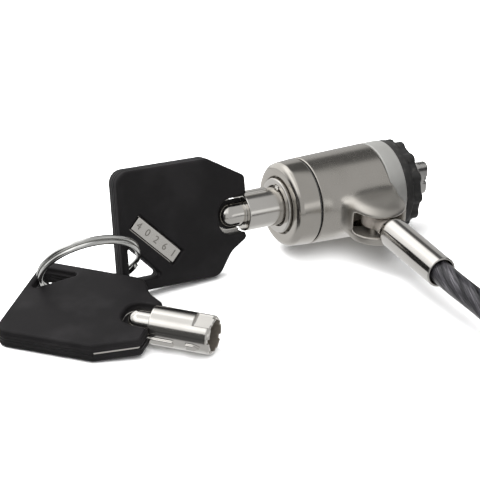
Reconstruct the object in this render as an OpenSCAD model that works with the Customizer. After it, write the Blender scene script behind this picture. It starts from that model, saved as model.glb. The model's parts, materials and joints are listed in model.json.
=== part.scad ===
// Laptop cable lock: a round T-bar lock with a swivelling cable clevis, two tubular
// keys on a split ring, and a steel cable that ends in a crimped loop.
// The origin is the centre of the rubber bumper's front face, which presses on the
// device. The lock axis points along +X and dips by nose_lift, because the key's
// wide head holds the other end a little off the table.

/* [Lock body] */
// How far the key end of the lock is raised above level, degrees
nose_lift = 3.5; // [3:0.1:4]
// Radius of the inner body that the sleeve turns on
body_r = 7.6; // [7.4:0.1:7.8]
// Radius of the nose cap and of the sleeve where they meet
nose_r = 8.6; // [8.4:0.1:8.9]
// Largest radius of the lock, at the front band
band_r = 9; // [8.8:0.1:9.4]
// Length of the swivelling sleeve
sleeve_l = 15.4; // [14.6:0.2:17]
// Length of the plain front band
band_l = 3.6; // [2.6:0.2:5]
// Length of the nose cap
cap_l = 4.8; // [4.4:0.1:5.6]
// Radius of the rounded edge of the nose cap
cap_round = 1.7; // [1:0.1:1.9]
// Inner radius of the nose cap's lip
cap_lip_r = 6.5; // [6.2:0.1:6.7]
// Thickness of the washer behind the nose cap
washer_t = 0.3; // [0.2:0.05:0.5]
// Radius of the rear spigot that the nose cap is pressed on
spigot_r = 7.1; // [6.9:0.1:7.3]

/* [Bumper ring] */
// Length of the rubber bumper ring
bumper_l = 4; // [3.2:0.2:5]
// Length of the bumper ring's lobed front part
lobe_l = 2.4; // [1.6:0.2:2.8]
// Number of lobes round the bumper ring
lobe_count = 12; // [8:1:14]
// Radius of one lobe
lobe_r = 1.3; // [1:0.1:1.6]
// Depth of the valleys between lobes, below the band radius
lobe_depth = 0.9; // [0.6:0.1:1.2]
// Radius of the front spigot inside the bumper ring
front_spigot_r = 5.5; // [5:0.1:6]

/* [T-bar] */
// Length of the T-bar across the slot
t_bar_l = 6.4; // [6:0.1:6.8]
// Width of the T-bar, which passes a slot 3 mm wide
t_bar_w = 2.7; // [2.5:0.1:2.8]
// Thickness of the T-bar along the lock axis
t_bar_t = 2.8; // [2.2:0.1:3.2]
// Gap from the bumper to the T-bar, the thickest slot wall it can grip
grip = 2.9; // [2.6:0.1:3.4]
// Radius of the turning spindle
spindle_r = 1.35; // [1.2:0.05:1.4]
// Length of the fixed lugs that stand in the slot
lug_reach = 1.8; // [1.2:0.1:2.2]

/* [Keyway and pins] */
// Radius of the turning plug
plug_r = 5.45; // [5.3:0.05:5.6]
// How far the plug face stands proud of the nose cap
plug_proud = 0.7; // [0.4:0.1:1]
// Length of the turning plug
plug_l = 10; // [9.6:0.1:10.6]
// Length of the fixed pin block behind the plug
block_l = 5; // [4.6:0.1:5.2]
// Number of tumbler pins
pin_count = 7; // [5:1:8]
// Radius of one tumbler pin
pin_r = 0.45; // [0.38:0.01:0.5]
// Wire radius of the driver springs
spring_wire_r = 0.11; // [0.08:0.01:0.13]

/* [Clevis and ferrule] */
// Distance from the sleeve's front edge back to the pivot
pivot_back = 5.8; // [5.6:0.1:7]
// Distance from the lock axis to the pivot
pivot_out = 12.3; // [12:0.1:13.4]
// Radius of the clevis ears
ear_r = 5.6; // [5.2:0.1:5.8]
// Thickness of each ear
ear_t = 1.9; // [1.5:0.1:2.3]
// Height of the slot between the ears
ear_gap = 4; // [3.8:0.1:4.4]
// Radius of the clevis pin
clevis_pin_r = 1.1; // [0.9:0.05:1.3]
// Radius of the ferrule barrel
ferrule_r = 3.05; // [2.95:0.05:3.3]
// Distance from the pivot to the open end of the ferrule
ferrule_l = 24.4; // [22:0.2:28]
// Thickness of the ferrule's tongue
tongue_t = 3.2; // [2.8:0.1:3.4]
// Radius of the eye on the tongue
eye_r = 2.75; // [2.5:0.05:2.9]
// Droop of the ferrule below the plane of the slot, degrees
droop = 2.5; // [1.5:0.1:3]

/* [Cable] */
// Diameter of the jacketed steel cable
cable_d = 4.7; // [4:0.1:4.8]
// Mean radius of the stored coil
coil_r = 25; // [23:0.5:26.5]
// Number of turns in the stored coil
coil_turns = 10; // [9:1:10]
// Clear gap between neighbouring turns
coil_gap = 0.6; // [0.55:0.05:0.8]
// Thickness of the two straps round the coil
strap_t = 0.5; // [0.4:0.1:0.6]
// Width of the straps round the coil
strap_w = 9; // [6:0.5:12]
// Length of the crimp sleeve at the end loop
crimp_l = 13; // [11:0.5:16]
// Length of the end loop beyond the crimp sleeve
loop_l = 34; // [28:1:40]
// Radius of the round end of the end loop
loop_r = 10.5; // [9.5:0.5:12]

/* [Keys] */
// Outer radius of the key barrel
barrel_r = 3.75; // [3.7:0.01:3.8]
// Wall of the key barrel
barrel_wall = 0.8; // [0.7:0.05:0.9]
// Length of the key barrel from its shoulder
barrel_l = 12.6; // [12:0.1:13.4]
// Length of barrel that stays outside the lock
barrel_out = 8; // [7.8:0.1:8.6]
// Length of the key head along the barrel
head_l = 27.5; // [27:0.5:30]
// Thickness of the key head
head_t = 3.8; // [3.4:0.1:4]
// Thickness of the metal plate inside the head
plate_t = 1.2; // [1:0.1:1.4]
// Radius of the shank that joins the barrel to the plate
shank_r = 2.15; // [1.9:0.05:2.3]
// Length of the shank inside the head
shank_l = 4.9; // [4.4:0.1:5.4]
// Length of the window that shows the key number
window_l = 11.7; // [10:0.1:12.5]
// Width of the window that shows the key number
window_w = 3; // [2.4:0.1:3.6]
// Lean of the first key's head from upright, degrees
key_roll = 14.5; // [13:0.5:16]

/* [Split ring] */
// Mean radius of the split ring
ring_r = 9.8; // [9.6:0.1:10]
// Radius of the split ring's wire
ring_wire_r = 0.45; // [0.4:0.01:0.47]
// Distance between the ring's two turns
ring_pitch = 1.05; // [1:0.01:1.1]

/* [Hidden] */
$fn = 96;
slip = 0.08;
press = 0.03;
floor_z = -(band_r * cos(nose_lift) - bumper_l * sin(nose_lift)) - 0.02;

// Stations along the lock axis, from the bumper's front face back to the key end.
x_band = -bumper_l;
x_sleeve = x_band - band_l - slip;
x_sleeve_end = x_sleeve - sleeve_l;
x_cap = x_sleeve_end - slip - washer_t;
x_nose = x_cap - cap_l;
x_plug = x_nose - plug_proud;
x_shear = x_plug + plug_l;
x_block_end = x_shear + block_l;
x_spigot_end = x_nose + 0.85;
x_wall = x_block_end + 1.1;
x_front_spigot = -0.5;
x_lug = -2.2;
x_shoulder = x_plug - barrel_out;
x_key_tip = x_shoulder + barrel_l;
x_pivot = x_sleeve - pivot_back;
cap_bore_r = spigot_r + press;

// Keyway: the barrel slides over the post, and a lug rides in the plug's slot.
post_r = barrel_r - barrel_wall - 0.1;
keyway_r = barrel_r + 0.1;
pin_circle_r = (post_r + keyway_r) / 2;
pin_bore_r = pin_r + 0.07;
ear_rim = 0.9;
ear_web = 2 * ear_r - 1.6;
bitting = [0.9, 0.3, 1.2, 0.6, 1.5, 0.4, 1];
driver_l = 1.9;
spring_turns = 4;
key_lug_angle = 78;
key_lug_w = 1.3;
key_lug_h = 0.5;
key_slot_clear = 0.15;
notch_angle = 164;
notch_l = 3.6;
notch_w = 2.4;

// Key head outline in its own plane: u runs along the barrel from the shoulder back
// to the tail (negative), v runs across it, and z is the thickness.
head_top = 12.4;
head_low = -11.35;
head_outline = [
    [-head_l, head_top], [-7.4, 12], [0, 7.4], [0, -4.6],
    [-3.6, -6.9], [-6.4, head_low], [-head_l, head_low]
];
head_rounds = [2.6, 1, 1.6, 1.2, 3.2, 2.2, 2.2];
plate_outline = [
    [-head_l, head_top], [-7.2, 12.2], [0, 7.9], [0, -4.6],
    [-3.6, -6.9], [-6.4, head_low], [-head_l, head_low]
];
hole_u = 3.4 - head_l;
ring_hole = [[hole_u - 1.7, -1.8], [hole_u + 5.7, -9.2], [hole_u - 1.7, -9.2]];
ring_hole_rounds = [0.5, 0.6, 0.8];
recess_half = 3.45;
recess_l = 5.4;
recess_round = 2.6;
window_at = [-20, -2];
head_gap = 0.3;

// Where the split ring and the second key lie: each hangs on the hole of the one before.
key_2_heading = -50.6;
key_2_turn = [187.5, -0.4, key_2_heading];
ring_turn = [-54.6, 9.8, -3.1];
ring_x = (x_shoulder + hole_u) * cos(nose_lift) - 9.85;
ring_at = [ring_x, -1.55, floor_z + 8.85];
key_2_at = [
    ring_x - 11.46 - hole_u * cos(key_2_heading),
    -1.34 - hole_u * sin(key_2_heading),
    floor_z + 3.77
];

// Cable: free stretches follow these points, and the coil is worked out.
cable_r = cable_d / 2;
crimp_wall = 0.9;
layer_step = cable_d + 0.5;
turn_step = cable_d + coil_gap;
coil_swing = coil_turns / 4 * turn_step;
coil_out_r = coil_r + coil_swing / 2;
run_floor_y = -73;
coil_at = [34.5, run_floor_y + coil_out_r];
coil_z = floor_z + cable_r + strap_t + 0.22;
coil_top_z = coil_z + 3 * layer_step;
coil_steps = 24;
ferrule_bore_r = cable_r + 0.25;
ferrule_bore_l = 4;
pivot_point = [x_pivot * cos(nose_lift), -pivot_out, -x_pivot * sin(nose_lift)];
run_start = pivot_point + (ferrule_l - ferrule_bore_l) * along_ferrule();
top_lie_z = coil_top_z + 2 * cable_r + crimp_wall + 0.02;
coil_in = [coil_at[0] - cable_d, run_floor_y];
coil_end = [coil_at[0] + cable_r, run_floor_y];
// The run lands on the floor in a wide bend, and goes on into the coil.
run_bend_r = 20;
run_bend_at = [-12.1 + run_bend_r, run_floor_y + run_bend_r];
run_points = concat(
    [
        run_start,
        run_start + ferrule_bore_l * along_ferrule(),
        [-13.4, -42, -0.6],
        [-12.6, -48.6, -1.5]
    ],
    [
        for (k = [0 : 6])
        let (a = 180 + 15 * k)
        [
            run_bend_at[0] + run_bend_r * cos(a), run_bend_at[1] + run_bend_r * sin(a),
            coil_z + 3.4 * (1 - sin(15 * k))
        ]
    ],
    [[coil_in[0], coil_in[1], coil_z]]
);
// The tail leaves the top of the coil, and bends across it to the crimp sleeve.
tail_bend_r = 14;
tail_bend_at = [coil_end[0] + 2, run_floor_y + tail_bend_r];
tail_points = concat(
    [[coil_end[0], coil_end[1], top_lie_z]],
    [
        for (k = [0 : 6])
        let (a = 270 + 15 * k)
        [tail_bend_at[0] + tail_bend_r * cos(a), tail_bend_at[1] + tail_bend_r * sin(a), top_lie_z]
    ],
    [[tail_bend_at[0] + tail_bend_r, tail_bend_at[1] + 1, top_lie_z]]
);
crimp_at = tail_points[len(tail_points) - 1];
crimp_shift = cable_d + 0.3;
loop_start_y = crimp_at[1] + crimp_l;
crimp_centre_x = crimp_at[0] + crimp_shift / 2;

// ---- Helpers ----------------------------------------------------------------

function unit(v) = v / norm(v);

// Direction of the ferrule, in the frame of the part.
function along_ferrule() = [
    -sin(droop) * sin(nose_lift),
    -cos(droop),
    -sin(droop) * cos(nose_lift)
];

// Direction of a path at point i.
function heading(path, i) =
    i == 0 ? unit(path[1] - path[0])
    : i == len(path) - 1 ? unit(path[i] - path[i - 1])
    : unit(unit(path[i + 1] - path[i]) + unit(path[i] - path[i - 1]));

// One ring of points round a path, square to its direction.
function ring_of(path, i, r, sides) =
    let (
        ahead = heading(path, i),
        side = unit(cross(ahead, [0, 0, 1])),
        up = cross(side, ahead)
    )
    [for (k = [0 : sides - 1]) path[i] + r * (cos(360 * k / sides) * side + sin(360 * k / sides) * up)];

// A round tube of one piece along a path, in triangles.
module tube(path, r, sides) {
    rings = len(path);
    last = (rings - 1) * sides;
    points = [for (i = [0 : rings - 1]) for (p = ring_of(path, i, r, sides)) p];
    walls = [
        for (i = [0 : rings - 2]) for (k = [0 : sides - 1])
        let (a = i * sides + k, b = i * sides + (k + 1) % sides)
        for (face = [[a, b, a + sides], [b, b + sides, a + sides]]) face
    ];
    start_cap = [for (k = [1 : sides - 2]) [0, k + 1, k]];
    end_cap = [for (k = [1 : sides - 2]) [last, last + k, last + k + 1]];
    polyhedron(points = points, faces = concat(walls, start_cap, end_cap));
}

// Points of a polygon whose corners are rounded, each by its own radius.
function rounded(corners, radii, steps = 8) = [
    for (i = [0 : len(corners) - 1])
    let (
        n = len(corners),
        p = corners[i],
        to_a = unit(corners[(i + n - 1) % n] - p),
        to_b = unit(corners[(i + 1) % n] - p),
        half = acos(to_a * to_b) / 2,
        centre = p + unit(to_a + to_b) * radii[i] / sin(half),
        touch = p + to_a * radii[i] / tan(half) - centre,
        sweep = (180 - 2 * half) * (to_a[0] * to_b[1] - to_a[1] * to_b[0] > 0 ? -1 : 1)
    )
    for (s = [0 : steps])
    let (a = sweep * s / steps)
    centre + [touch[0] * cos(a) - touch[1] * sin(a), touch[0] * sin(a) + touch[1] * cos(a)]
];

// Places a piece that is drawn in the lock's own frame, with X along the lock axis.
module on_lock() {
    rotate([0, nose_lift, 0]) children();
}

// A solid of revolution about the lock axis, from [station, radius] points.
module turned(profile) {
    rotate([0, 90, 0]) rotate_extrude() polygon([for (p = profile) [p[1], p[0]]]);
}

// A round bar along the lock axis between two stations.
module bar(x0, x1, r) {
    translate([x0, 0, 0]) rotate([0, 90, 0]) cylinder(h = x1 - x0, r = r);
}

// Copies round the lock axis, one for each tumbler pin.
module each_pin() {
    for (i = [0 : pin_count - 1]) rotate([360 * (i + 0.5) / pin_count, 0, 0]) translate([0, 0, pin_circle_r])
        let ($cut = bitting[i % len(bitting)]) children();
}

// ---- Lock body ----------------------------------------------------------------

module lock_body() {
    color("silver") on_lock() difference() {
        union() {
            bar(x_cap, x_band, body_r);
            bar(x_spigot_end, x_cap, spigot_r);
            bar(x_band, x_front_spigot, front_spigot_r);
        }
        bar(x_spigot_end - 1, x_wall, plug_r + 0.05);
        bar(x_wall - 1, 1, spindle_r + 0.05);
        slot_lug_shapes(x_lug - 0.05, 1, 0.05);
        block_pin_shape(0.03, 1);
    }
}

module nose_cap() {
    steps = 12;
    round_edge = [
        for (s = [0 : steps])
        let (a = 90 * s / steps)
        [x_nose + cap_round * (1 - sin(a)), nose_r - cap_round * (1 - cos(a))]
    ];
    color("silver") on_lock() turned(concat(
        [[x_cap, cap_bore_r], [x_cap, nose_r - 0.15], [x_cap - 0.15, nose_r]],
        round_edge,
        [[x_nose, cap_lip_r], [x_spigot_end, cap_lip_r], [x_spigot_end, cap_bore_r]]
    ));
}

module seam_washer() {
    color("dimgray") on_lock() turned([
        [x_cap, body_r + press], [x_cap + washer_t, body_r + press],
        [x_cap + washer_t, nose_r - 0.3], [x_cap, nose_r - 0.3]
    ]);
}

module front_band() {
    color("lightgray") on_lock() turned([
        [x_band - band_l, body_r + press], [x_band, body_r + press],
        [x_band, band_r - 0.1], [x_band - 0.1, band_r],
        [x_band - band_l + 0.1, band_r], [x_band - band_l, band_r - 0.1]
    ]);
}

module bumper_ring() {
    valley_r = band_r - lobe_depth;
    color("black") on_lock() difference() {
        union() {
            bar(x_band, -lobe_l, band_r - 0.12);
            translate([-lobe_l, 0, 0]) rotate([0, 90, 0]) linear_extrude(lobe_l) {
                circle(r = valley_r);
                for (i = [0 : lobe_count - 1]) rotate(360 * i / lobe_count)
                    translate([band_r - 0.25 - lobe_r, 0]) circle(r = lobe_r, $fn = 32);
            }
        }
        bar(x_band - 1, 1, front_spigot_r + press);
    }
}

// Two lugs beside the spindle: they fill the slot so that the lock can't turn in it.
module slot_lug_shapes(x0, x1, grow) {
    inner = spindle_r + 0.2 - grow;
    for (side = [-1, 1]) translate([x0, -t_bar_w / 2 - grow, side > 0 ? inner : -t_bar_l / 2 - grow])
        cube([x1 - x0, t_bar_w + 2 * grow, t_bar_l / 2 + grow - inner]);
}

module slot_lugs() {
    color("silver") on_lock() slot_lug_shapes(x_lug, lug_reach, 0);
}

module pin_block() {
    color("goldenrod") on_lock() difference() {
        bar(x_shear + 0.05, x_block_end, plug_r);
        bar(x_shear - 1, x_block_end + 1, spindle_r + 0.05);
        each_pin() bar(x_shear - 1, x_block_end + 1, pin_bore_r);
        block_pin_shape(0.03, 0);
    }
}

// The pin that locks the pin block into the body, between two tumbler bores.
module block_pin_shape(grow, longer) {
    translate([x_block_end - block_l / 2, 0, 0]) translate([0, 0, pin_circle_r + 1.1 - grow])
        cylinder(h = body_r - 0.1 - pin_circle_r - 1.1 + grow + longer, r = 0.6 + grow);
}

module block_pin() {
    color("gray") on_lock() block_pin_shape(0, 0);
}

module driver_pins() {
    color("goldenrod") on_lock() each_pin() bar(x_shear + 0.08, x_shear + driver_l, pin_r);
}

module driver_springs() {
    x0 = x_shear + driver_l + spring_wire_r + 0.02;
    x1 = x_block_end - spring_wire_r;
    coil_wire_r = pin_r - spring_wire_r;
    path = [
        for (s = [0 : 8 * spring_turns])
        [coil_wire_r * cos(45 * s), coil_wire_r * sin(45 * s), (x1 - x0) * s / (8 * spring_turns)]
    ];
    color("gray") on_lock() each_pin() translate([x0, 0, 0]) rotate([0, 90, 0]) tube(path, spring_wire_r, 4);
}

// ---- Swivelling sleeve with its clevis ------------------------------------------

// One ear: a disc with a rounded rim, on a web that reaches into the sleeve.
module ear() {
    steps = 6;
    rim = [for (s = [0 : steps]) let (a = 90 * s / steps)
        [ear_r - ear_rim * (1 - cos(a)), ear_t - ear_rim * (1 - sin(a))]];
    translate([x_pivot, -pivot_out, 0]) rotate_extrude() polygon(concat([[0, 0], [ear_r, 0]], rim, [[0, ear_t]]));
    translate([x_pivot - ear_web / 2, -pivot_out, 0]) cube([ear_web, pivot_out - body_r - 0.2, ear_t - 0.35]);
}

module swivel_sleeve() {
    ear_z = ear_gap / 2;
    color("silver") on_lock() difference() {
        union() {
            turned([
                [x_sleeve_end, body_r - 1], [x_sleeve, body_r - 1],
                [x_sleeve, band_r - 0.15], [x_sleeve - 0.15, band_r],
                [x_sleeve_end + 0.15, nose_r], [x_sleeve_end, nose_r - 0.15]
            ]);
            translate([0, 0, ear_z]) ear();
            translate([0, 0, -ear_z]) mirror([0, 0, 1]) ear();
        }
        bar(x_sleeve_end - 1, x_sleeve + 1, body_r + 0.07);
        translate([x_pivot, -pivot_out, -ear_z - ear_t - 1])
            cylinder(h = ear_gap + ear_t + 2.2, r = clevis_pin_r + press);
    }
}

module clevis_pin() {
    color("gray") on_lock() translate([x_pivot, -pivot_out, -ear_gap / 2 - ear_t + 0.1])
        cylinder(h = ear_gap + ear_t + 1, r = clevis_pin_r);
}

// ---- Plug, spindle and T-bar ------------------------------------------------------

// The slot for the key's outer lug, turned with the key's own lean.
module key_lug_place() {
    rotate([90 - key_roll - key_lug_angle, 0, 0]) children();
}

module plug() {
    color("silver") on_lock() difference() {
        turned([
            [x_plug, 0], [x_plug, plug_r - 0.3], [x_plug + 0.3, plug_r],
            [x_shear, plug_r], [x_shear, 0]
        ]);
        difference() {
            bar(x_plug - 1, x_key_tip + 0.05, keyway_r);
            bar(x_plug - 1, x_key_tip + 1, post_r);
        }
        key_lug_place() translate([x_plug - 1, -key_lug_w / 2 - key_slot_clear, post_r + 0.3])
            cube([barrel_l - barrel_out + 1.05, key_lug_w + 2 * key_slot_clear,
                barrel_r + key_lug_h + 0.2 - post_r - 0.3]);
        each_pin() bar(x_key_tip - 1, x_shear + 1, pin_bore_r);
    }
}

module spindle() {
    groove_x = x_block_end + 0.2;
    color("silver") on_lock() difference() {
        union() {
            bar(x_shear, grip, spindle_r);
            bar(grip - 0.1, grip + t_bar_t, spindle_r - 0.55);
        }
        difference() {
            bar(groove_x, groove_x + 0.6, spindle_r + 1);
            bar(groove_x - 1, groove_x + 2, spindle_r - 0.3);
        }
    }
}

module spindle_clip() {
    clip_x = x_block_end + 0.25;
    color("gray") on_lock() difference() {
        bar(clip_x, clip_x + 0.5, spindle_r + 1.2);
        bar(clip_x - 1, clip_x + 1, spindle_r - 0.27);
        translate([clip_x - 1, -0.7, -spindle_r - 3]) cube([3, 1.4, spindle_r + 3]);
    }
}

module t_bar() {
    end_r = t_bar_w / 2;
    color("silver") on_lock() difference() {
        translate([grip, 0, 0]) rotate([0, 90, 0]) linear_extrude(t_bar_t) {
            square([t_bar_l - 2 * end_r, t_bar_w], center = true);
            for (side = [-1, 1]) translate([side * (t_bar_l / 2 - end_r), 0]) circle(r = end_r);
        }
        bar(grip - 1, grip + t_bar_t + 1, spindle_r - 0.55 + press);
        translate([grip + t_bar_t - 0.9, -t_bar_w, -0.55]) cube([1, 2 * t_bar_w, 1.1]);
    }
}

module key_pins() {
    color("goldenrod") on_lock() each_pin() bar(x_key_tip + 0.03 - $cut, x_shear - 0.05, pin_r);
}

// ---- Keys ---------------------------------------------------------------------------

module recess_outline(half, l, round_r) {
    translate([-l + round_r, -half]) square([l - round_r + 1, 2 * half]);
    for (side = [-1, 1]) translate([-l + round_r, side * (half - round_r)]) circle(r = round_r);
    if (half > round_r) translate([-l, -half + round_r]) square([l, 2 * (half - round_r)]);
}

module head_2d(outline) {
    difference() {
        polygon(rounded(outline, head_rounds));
        polygon(rounded(ring_hole, ring_hole_rounds));
    }
}

module window_2d(grow) {
    translate(window_at) rotate(-45) square([window_l + 2 * grow, window_w + 2 * grow], center = true);
}

module key_plate() {
    slot_r = shank_r + press;
    color("silver") translate([0, 0, -plate_t / 2]) linear_extrude(plate_t) difference() {
        head_2d(plate_outline);
        recess_outline(slot_r, shank_l + press, slot_r);
    }
}

module key_cover(windowed) {
    cover_t = (head_t - plate_t) / 2;
    color([0.13, 0.12, 0.13]) translate([0, 0, plate_t / 2]) linear_extrude(cover_t) difference() {
        head_2d(head_outline);
        recess_outline(recess_half, recess_l, recess_round);
        if (windowed) window_2d(0);
    }
}

// One lug along the outside of the barrel, from u0 to a point at u1.
module barrel_lug(u0, u1, point_l) {
    half = key_lug_w / 2;
    rotate([-key_lug_angle, 0, 0]) translate([0, 0, post_r + 0.4])
        linear_extrude(barrel_r + key_lug_h - post_r - 0.4)
        polygon([[u0, -half], [u1 - point_l, -half], [u1, -0.2], [u1, 0.2], [u1 - point_l, half], [u0, half]]);
}

module key_barrel() {
    bore_r = barrel_r - barrel_wall;
    color("silver") difference() {
        union() {
            turned([[head_gap, 0], [head_gap, barrel_r], [barrel_l - 0.4, barrel_r],
                [barrel_l, barrel_r - 0.3], [barrel_l, 0]]);
            bar(-shank_l + shank_r, head_gap + 1, shank_r);
            translate([-shank_l + shank_r, 0, 0]) sphere(r = shank_r);
            barrel_lug(0.5, 5.6, 0.2);
            barrel_lug(8.1, 10.8, 1.1);
        }
        bar(3.2, barrel_l + 1, bore_r);
        rotate([-notch_angle, 0, 0]) translate([barrel_l - notch_l, -notch_w / 2, post_r - 1])
            cube([notch_l + 1, notch_w, 3]);
        rotate([key_roll - 90, 0, 0]) each_pin()
            bar(barrel_l - $cut, barrel_l + 1, pin_bore_r);
    }
}

module at_key_1() {
    on_lock() translate([x_shoulder, 0, 0]) rotate([90 - key_roll, 0, 0]) children();
}

module at_key_2() {
    translate(key_2_at) rotate(key_2_turn) children();
}

module key_1_barrel() { at_key_1() key_barrel(); }
module key_1_plate() { at_key_1() key_plate(); }
module key_1_front() { at_key_1() key_cover(true); }
module key_1_back() { at_key_1() mirror([0, 0, 1]) key_cover(false); }
module key_2_barrel() { at_key_2() key_barrel(); }
module key_2_plate() { at_key_2() key_plate(); }
module key_2_front() { at_key_2() key_cover(true); }
module key_2_back() { at_key_2() mirror([0, 0, 1]) key_cover(false); }

// ---- Split ring -------------------------------------------------------------------------

module split_ring() {
    steps = 24;
    ease = 3;
    path = [
        for (s = [0 : 2 * steps - 1])
        let (
            a = 360 * s / steps,
            rise = min(1, max(0, (s - steps + ease) / (2 * ease)))
        )
        [ring_r * cos(a), ring_r * sin(a), ring_pitch * (rise - 0.5)]
    ];
    color("silver") translate(ring_at) rotate(ring_turn) tube(path, ring_wire_r, 8);
}

// ---- Cable ------------------------------------------------------------------------------

module cable_ferrule() {
    barrel_start = ear_r + 0.3;
    color("silver") on_lock() translate([x_pivot, -pivot_out, 0]) difference() {
        rotate([droop, 0, 0]) union() {
            translate([0, 0, -tongue_t / 2]) cylinder(h = tongue_t, r = eye_r);
            translate([-eye_r + 0.2, -barrel_start - 0.6, -tongue_t / 2])
                cube([2 * eye_r - 0.4, barrel_start + 0.6, tongue_t]);
            rotate([90, 0, 0]) difference() {
                rotate_extrude() polygon([
                    [0, barrel_start], [ferrule_r - 0.7, barrel_start],
                    [ferrule_r, barrel_start + 1.4], [ferrule_r, ferrule_l - 0.2],
                    [ferrule_r - 0.2, ferrule_l], [0, ferrule_l]
                ]);
                translate([0, 0, ferrule_l - ferrule_bore_l]) cylinder(h = ferrule_bore_l + 1, r = ferrule_bore_r);
            }
        }
        translate([0, 0, -tongue_t]) cylinder(h = 2 * tongue_t, r = clevis_pin_r + slip);
    }
}

module cable_run() {
    color([0.2, 0.2, 0.22]) tube(run_points, cable_r, 12);
}

module cable_tail() {
    color([0.2, 0.2, 0.22]) tube(tail_points, cable_r, 12);
}

// Centre of the coil's tube at a given turn: the radius swings in and out at a steady
// rate over four layers, and each layer is climbed in the half turn where it reverses. The
// last eighth of a turn climbs onto the coil, to the height of the crimp sleeve.
function coil_layer(turn) = min(3, floor(turn / (coil_turns / 4)));
function coil_swing_at(turn) =
    let (layer = coil_layer(turn), part = turn / (coil_turns / 4) - layer)
    coil_swing * (layer % 2 == 0 ? 1 - part : part);
function coil_climb(turn) =
    let (climbs = [for (k = [1 : 3]) min(1, max(0, (turn - k * coil_turns / 4 + 0.25) * 2))])
    climbs[0] + climbs[1] + climbs[2];
function coil_last_climb(turn) = (top_lie_z - coil_top_z) * max(0, (turn - coil_turns + 0.125) * 8);
function coil_point(turn) =
    let (r = coil_r - coil_swing / 2 + coil_swing_at(turn), a = 270 + 360 * turn)
    [
        coil_at[0] + r * cos(a), coil_at[1] + r * sin(a),
        coil_z + layer_step * coil_climb(turn) + coil_last_climb(turn)
    ];
coil_path = concat(
    [[coil_in[0], coil_in[1], coil_z]],
    [for (s = [0 : coil_steps * coil_turns]) coil_point(s / coil_steps)],
    [[coil_end[0], coil_end[1], top_lie_z]]
);
coil_least_gap = min([
    for (i = [0 : len(coil_path) - 1]) for (j = [i + coil_steps / 2 : len(coil_path) - 1])
    norm(coil_path[i] - coil_path[j])
]) - cable_d;
echo(coil_least_gap = coil_least_gap);

module cable_coil() {
    color([0.2, 0.2, 0.22]) tube(coil_path, cable_r, 6);
}

// A strap round the bundle of turns, drawn as a rounded frame across the coil.
module coil_straps() {
    inner_w = coil_swing + cable_d + 2 * turn_step - 2 * cable_d;
    inner_h = 3 * layer_step + cable_d + 0.4;
    corner = 2.2;
    color("black") for (heading = [0, 90])
        translate([coil_at[0], coil_at[1], coil_z - cable_r - 0.2 + inner_h / 2])
        rotate(heading) translate([0, coil_r, 0]) rotate([90, 0, 90]) translate([0, 0, -strap_w / 2]) linear_extrude(strap_w) difference() {
            rounded_rect(inner_w + 2 * strap_t, inner_h + 2 * strap_t, corner + strap_t);
            rounded_rect(inner_w, inner_h, corner);
        }
}

module rounded_rect(w, h, r) {
    corners = [[-w / 2, -h / 2], [w / 2, -h / 2], [w / 2, h / 2], [-w / 2, h / 2]];
    polygon(rounded(corners, [r, r, r, r]));
}

module crimp_sleeve() {
    half = crimp_shift / 2;
    shell_r = cable_r + crimp_wall;
    color("silver") translate([crimp_centre_x, crimp_at[1], top_lie_z])
        rotate([-90, 0, 0]) linear_extrude(crimp_l) {
            for (side = [-1, 1]) translate([side * half, 0]) circle(r = shell_r);
            square([2 * half, 2 * shell_r], center = true);
        }
}

// The end loop: out of the crimp sleeve, round a wide bend and back in beside itself.
module end_loop() {
    half = crimp_shift / 2;
    bend_y = loop_start_y + loop_l - loop_r;
    bend_steps = 14;
    out = [
        [half, loop_start_y], [half, loop_start_y + cable_d],
        [half + 2.6, loop_start_y + 11], [loop_r - 0.9, bend_y - 5]
    ];
    bend = [
        for (s = [0 : bend_steps])
        let (a = 200 * s / bend_steps - 10)
        [loop_r * cos(a), bend_y + loop_r * sin(a)]
    ];
    back = [for (s = [3 : -1 : 0]) [-out[s][0], out[s][1]]];
    color([0.2, 0.2, 0.22]) translate([crimp_centre_x, 0, top_lie_z])
        tube([for (p = concat(out, bend, back)) [p[0], p[1], 0]], cable_r, 10);
}

lock_body();
nose_cap();
seam_washer();
front_band();
bumper_ring();
slot_lugs();
pin_block();
block_pin();
driver_pins();
driver_springs();
swivel_sleeve();
clevis_pin();
plug();
spindle();
spindle_clip();
t_bar();
key_pins();
key_1_barrel();
key_1_plate();
key_1_front();
key_1_back();
split_ring();
key_2_barrel();
key_2_plate();
key_2_front();
key_2_back();
cable_ferrule();
cable_run();
cable_coil();
coil_straps();
cable_tail();
crimp_sleeve();
end_loop();
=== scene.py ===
# %% [markdown]
# # A laptop cable lock and its two keys
# A round lock with a T-bar, a sleeve that swivels with its cable clevis, a vinyl-covered
# steel cable, and two tubular keys on a split ring. The exact solids come first, as a
# fixed frame; every piece made here sits on them and moves with them. Lengths are
# written in millimetres, because that is how a locksmith thinks, and turned into metres
# at the last moment.

# %% Load the frame
import json
from math import acos, atan2, cos, degrees, dist, pi, radians, sin, tan
import bpy
import numpy as np
from mathutils import Euler, Matrix, Vector
from mathutils.geometry import tessellate_polygon


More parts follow.
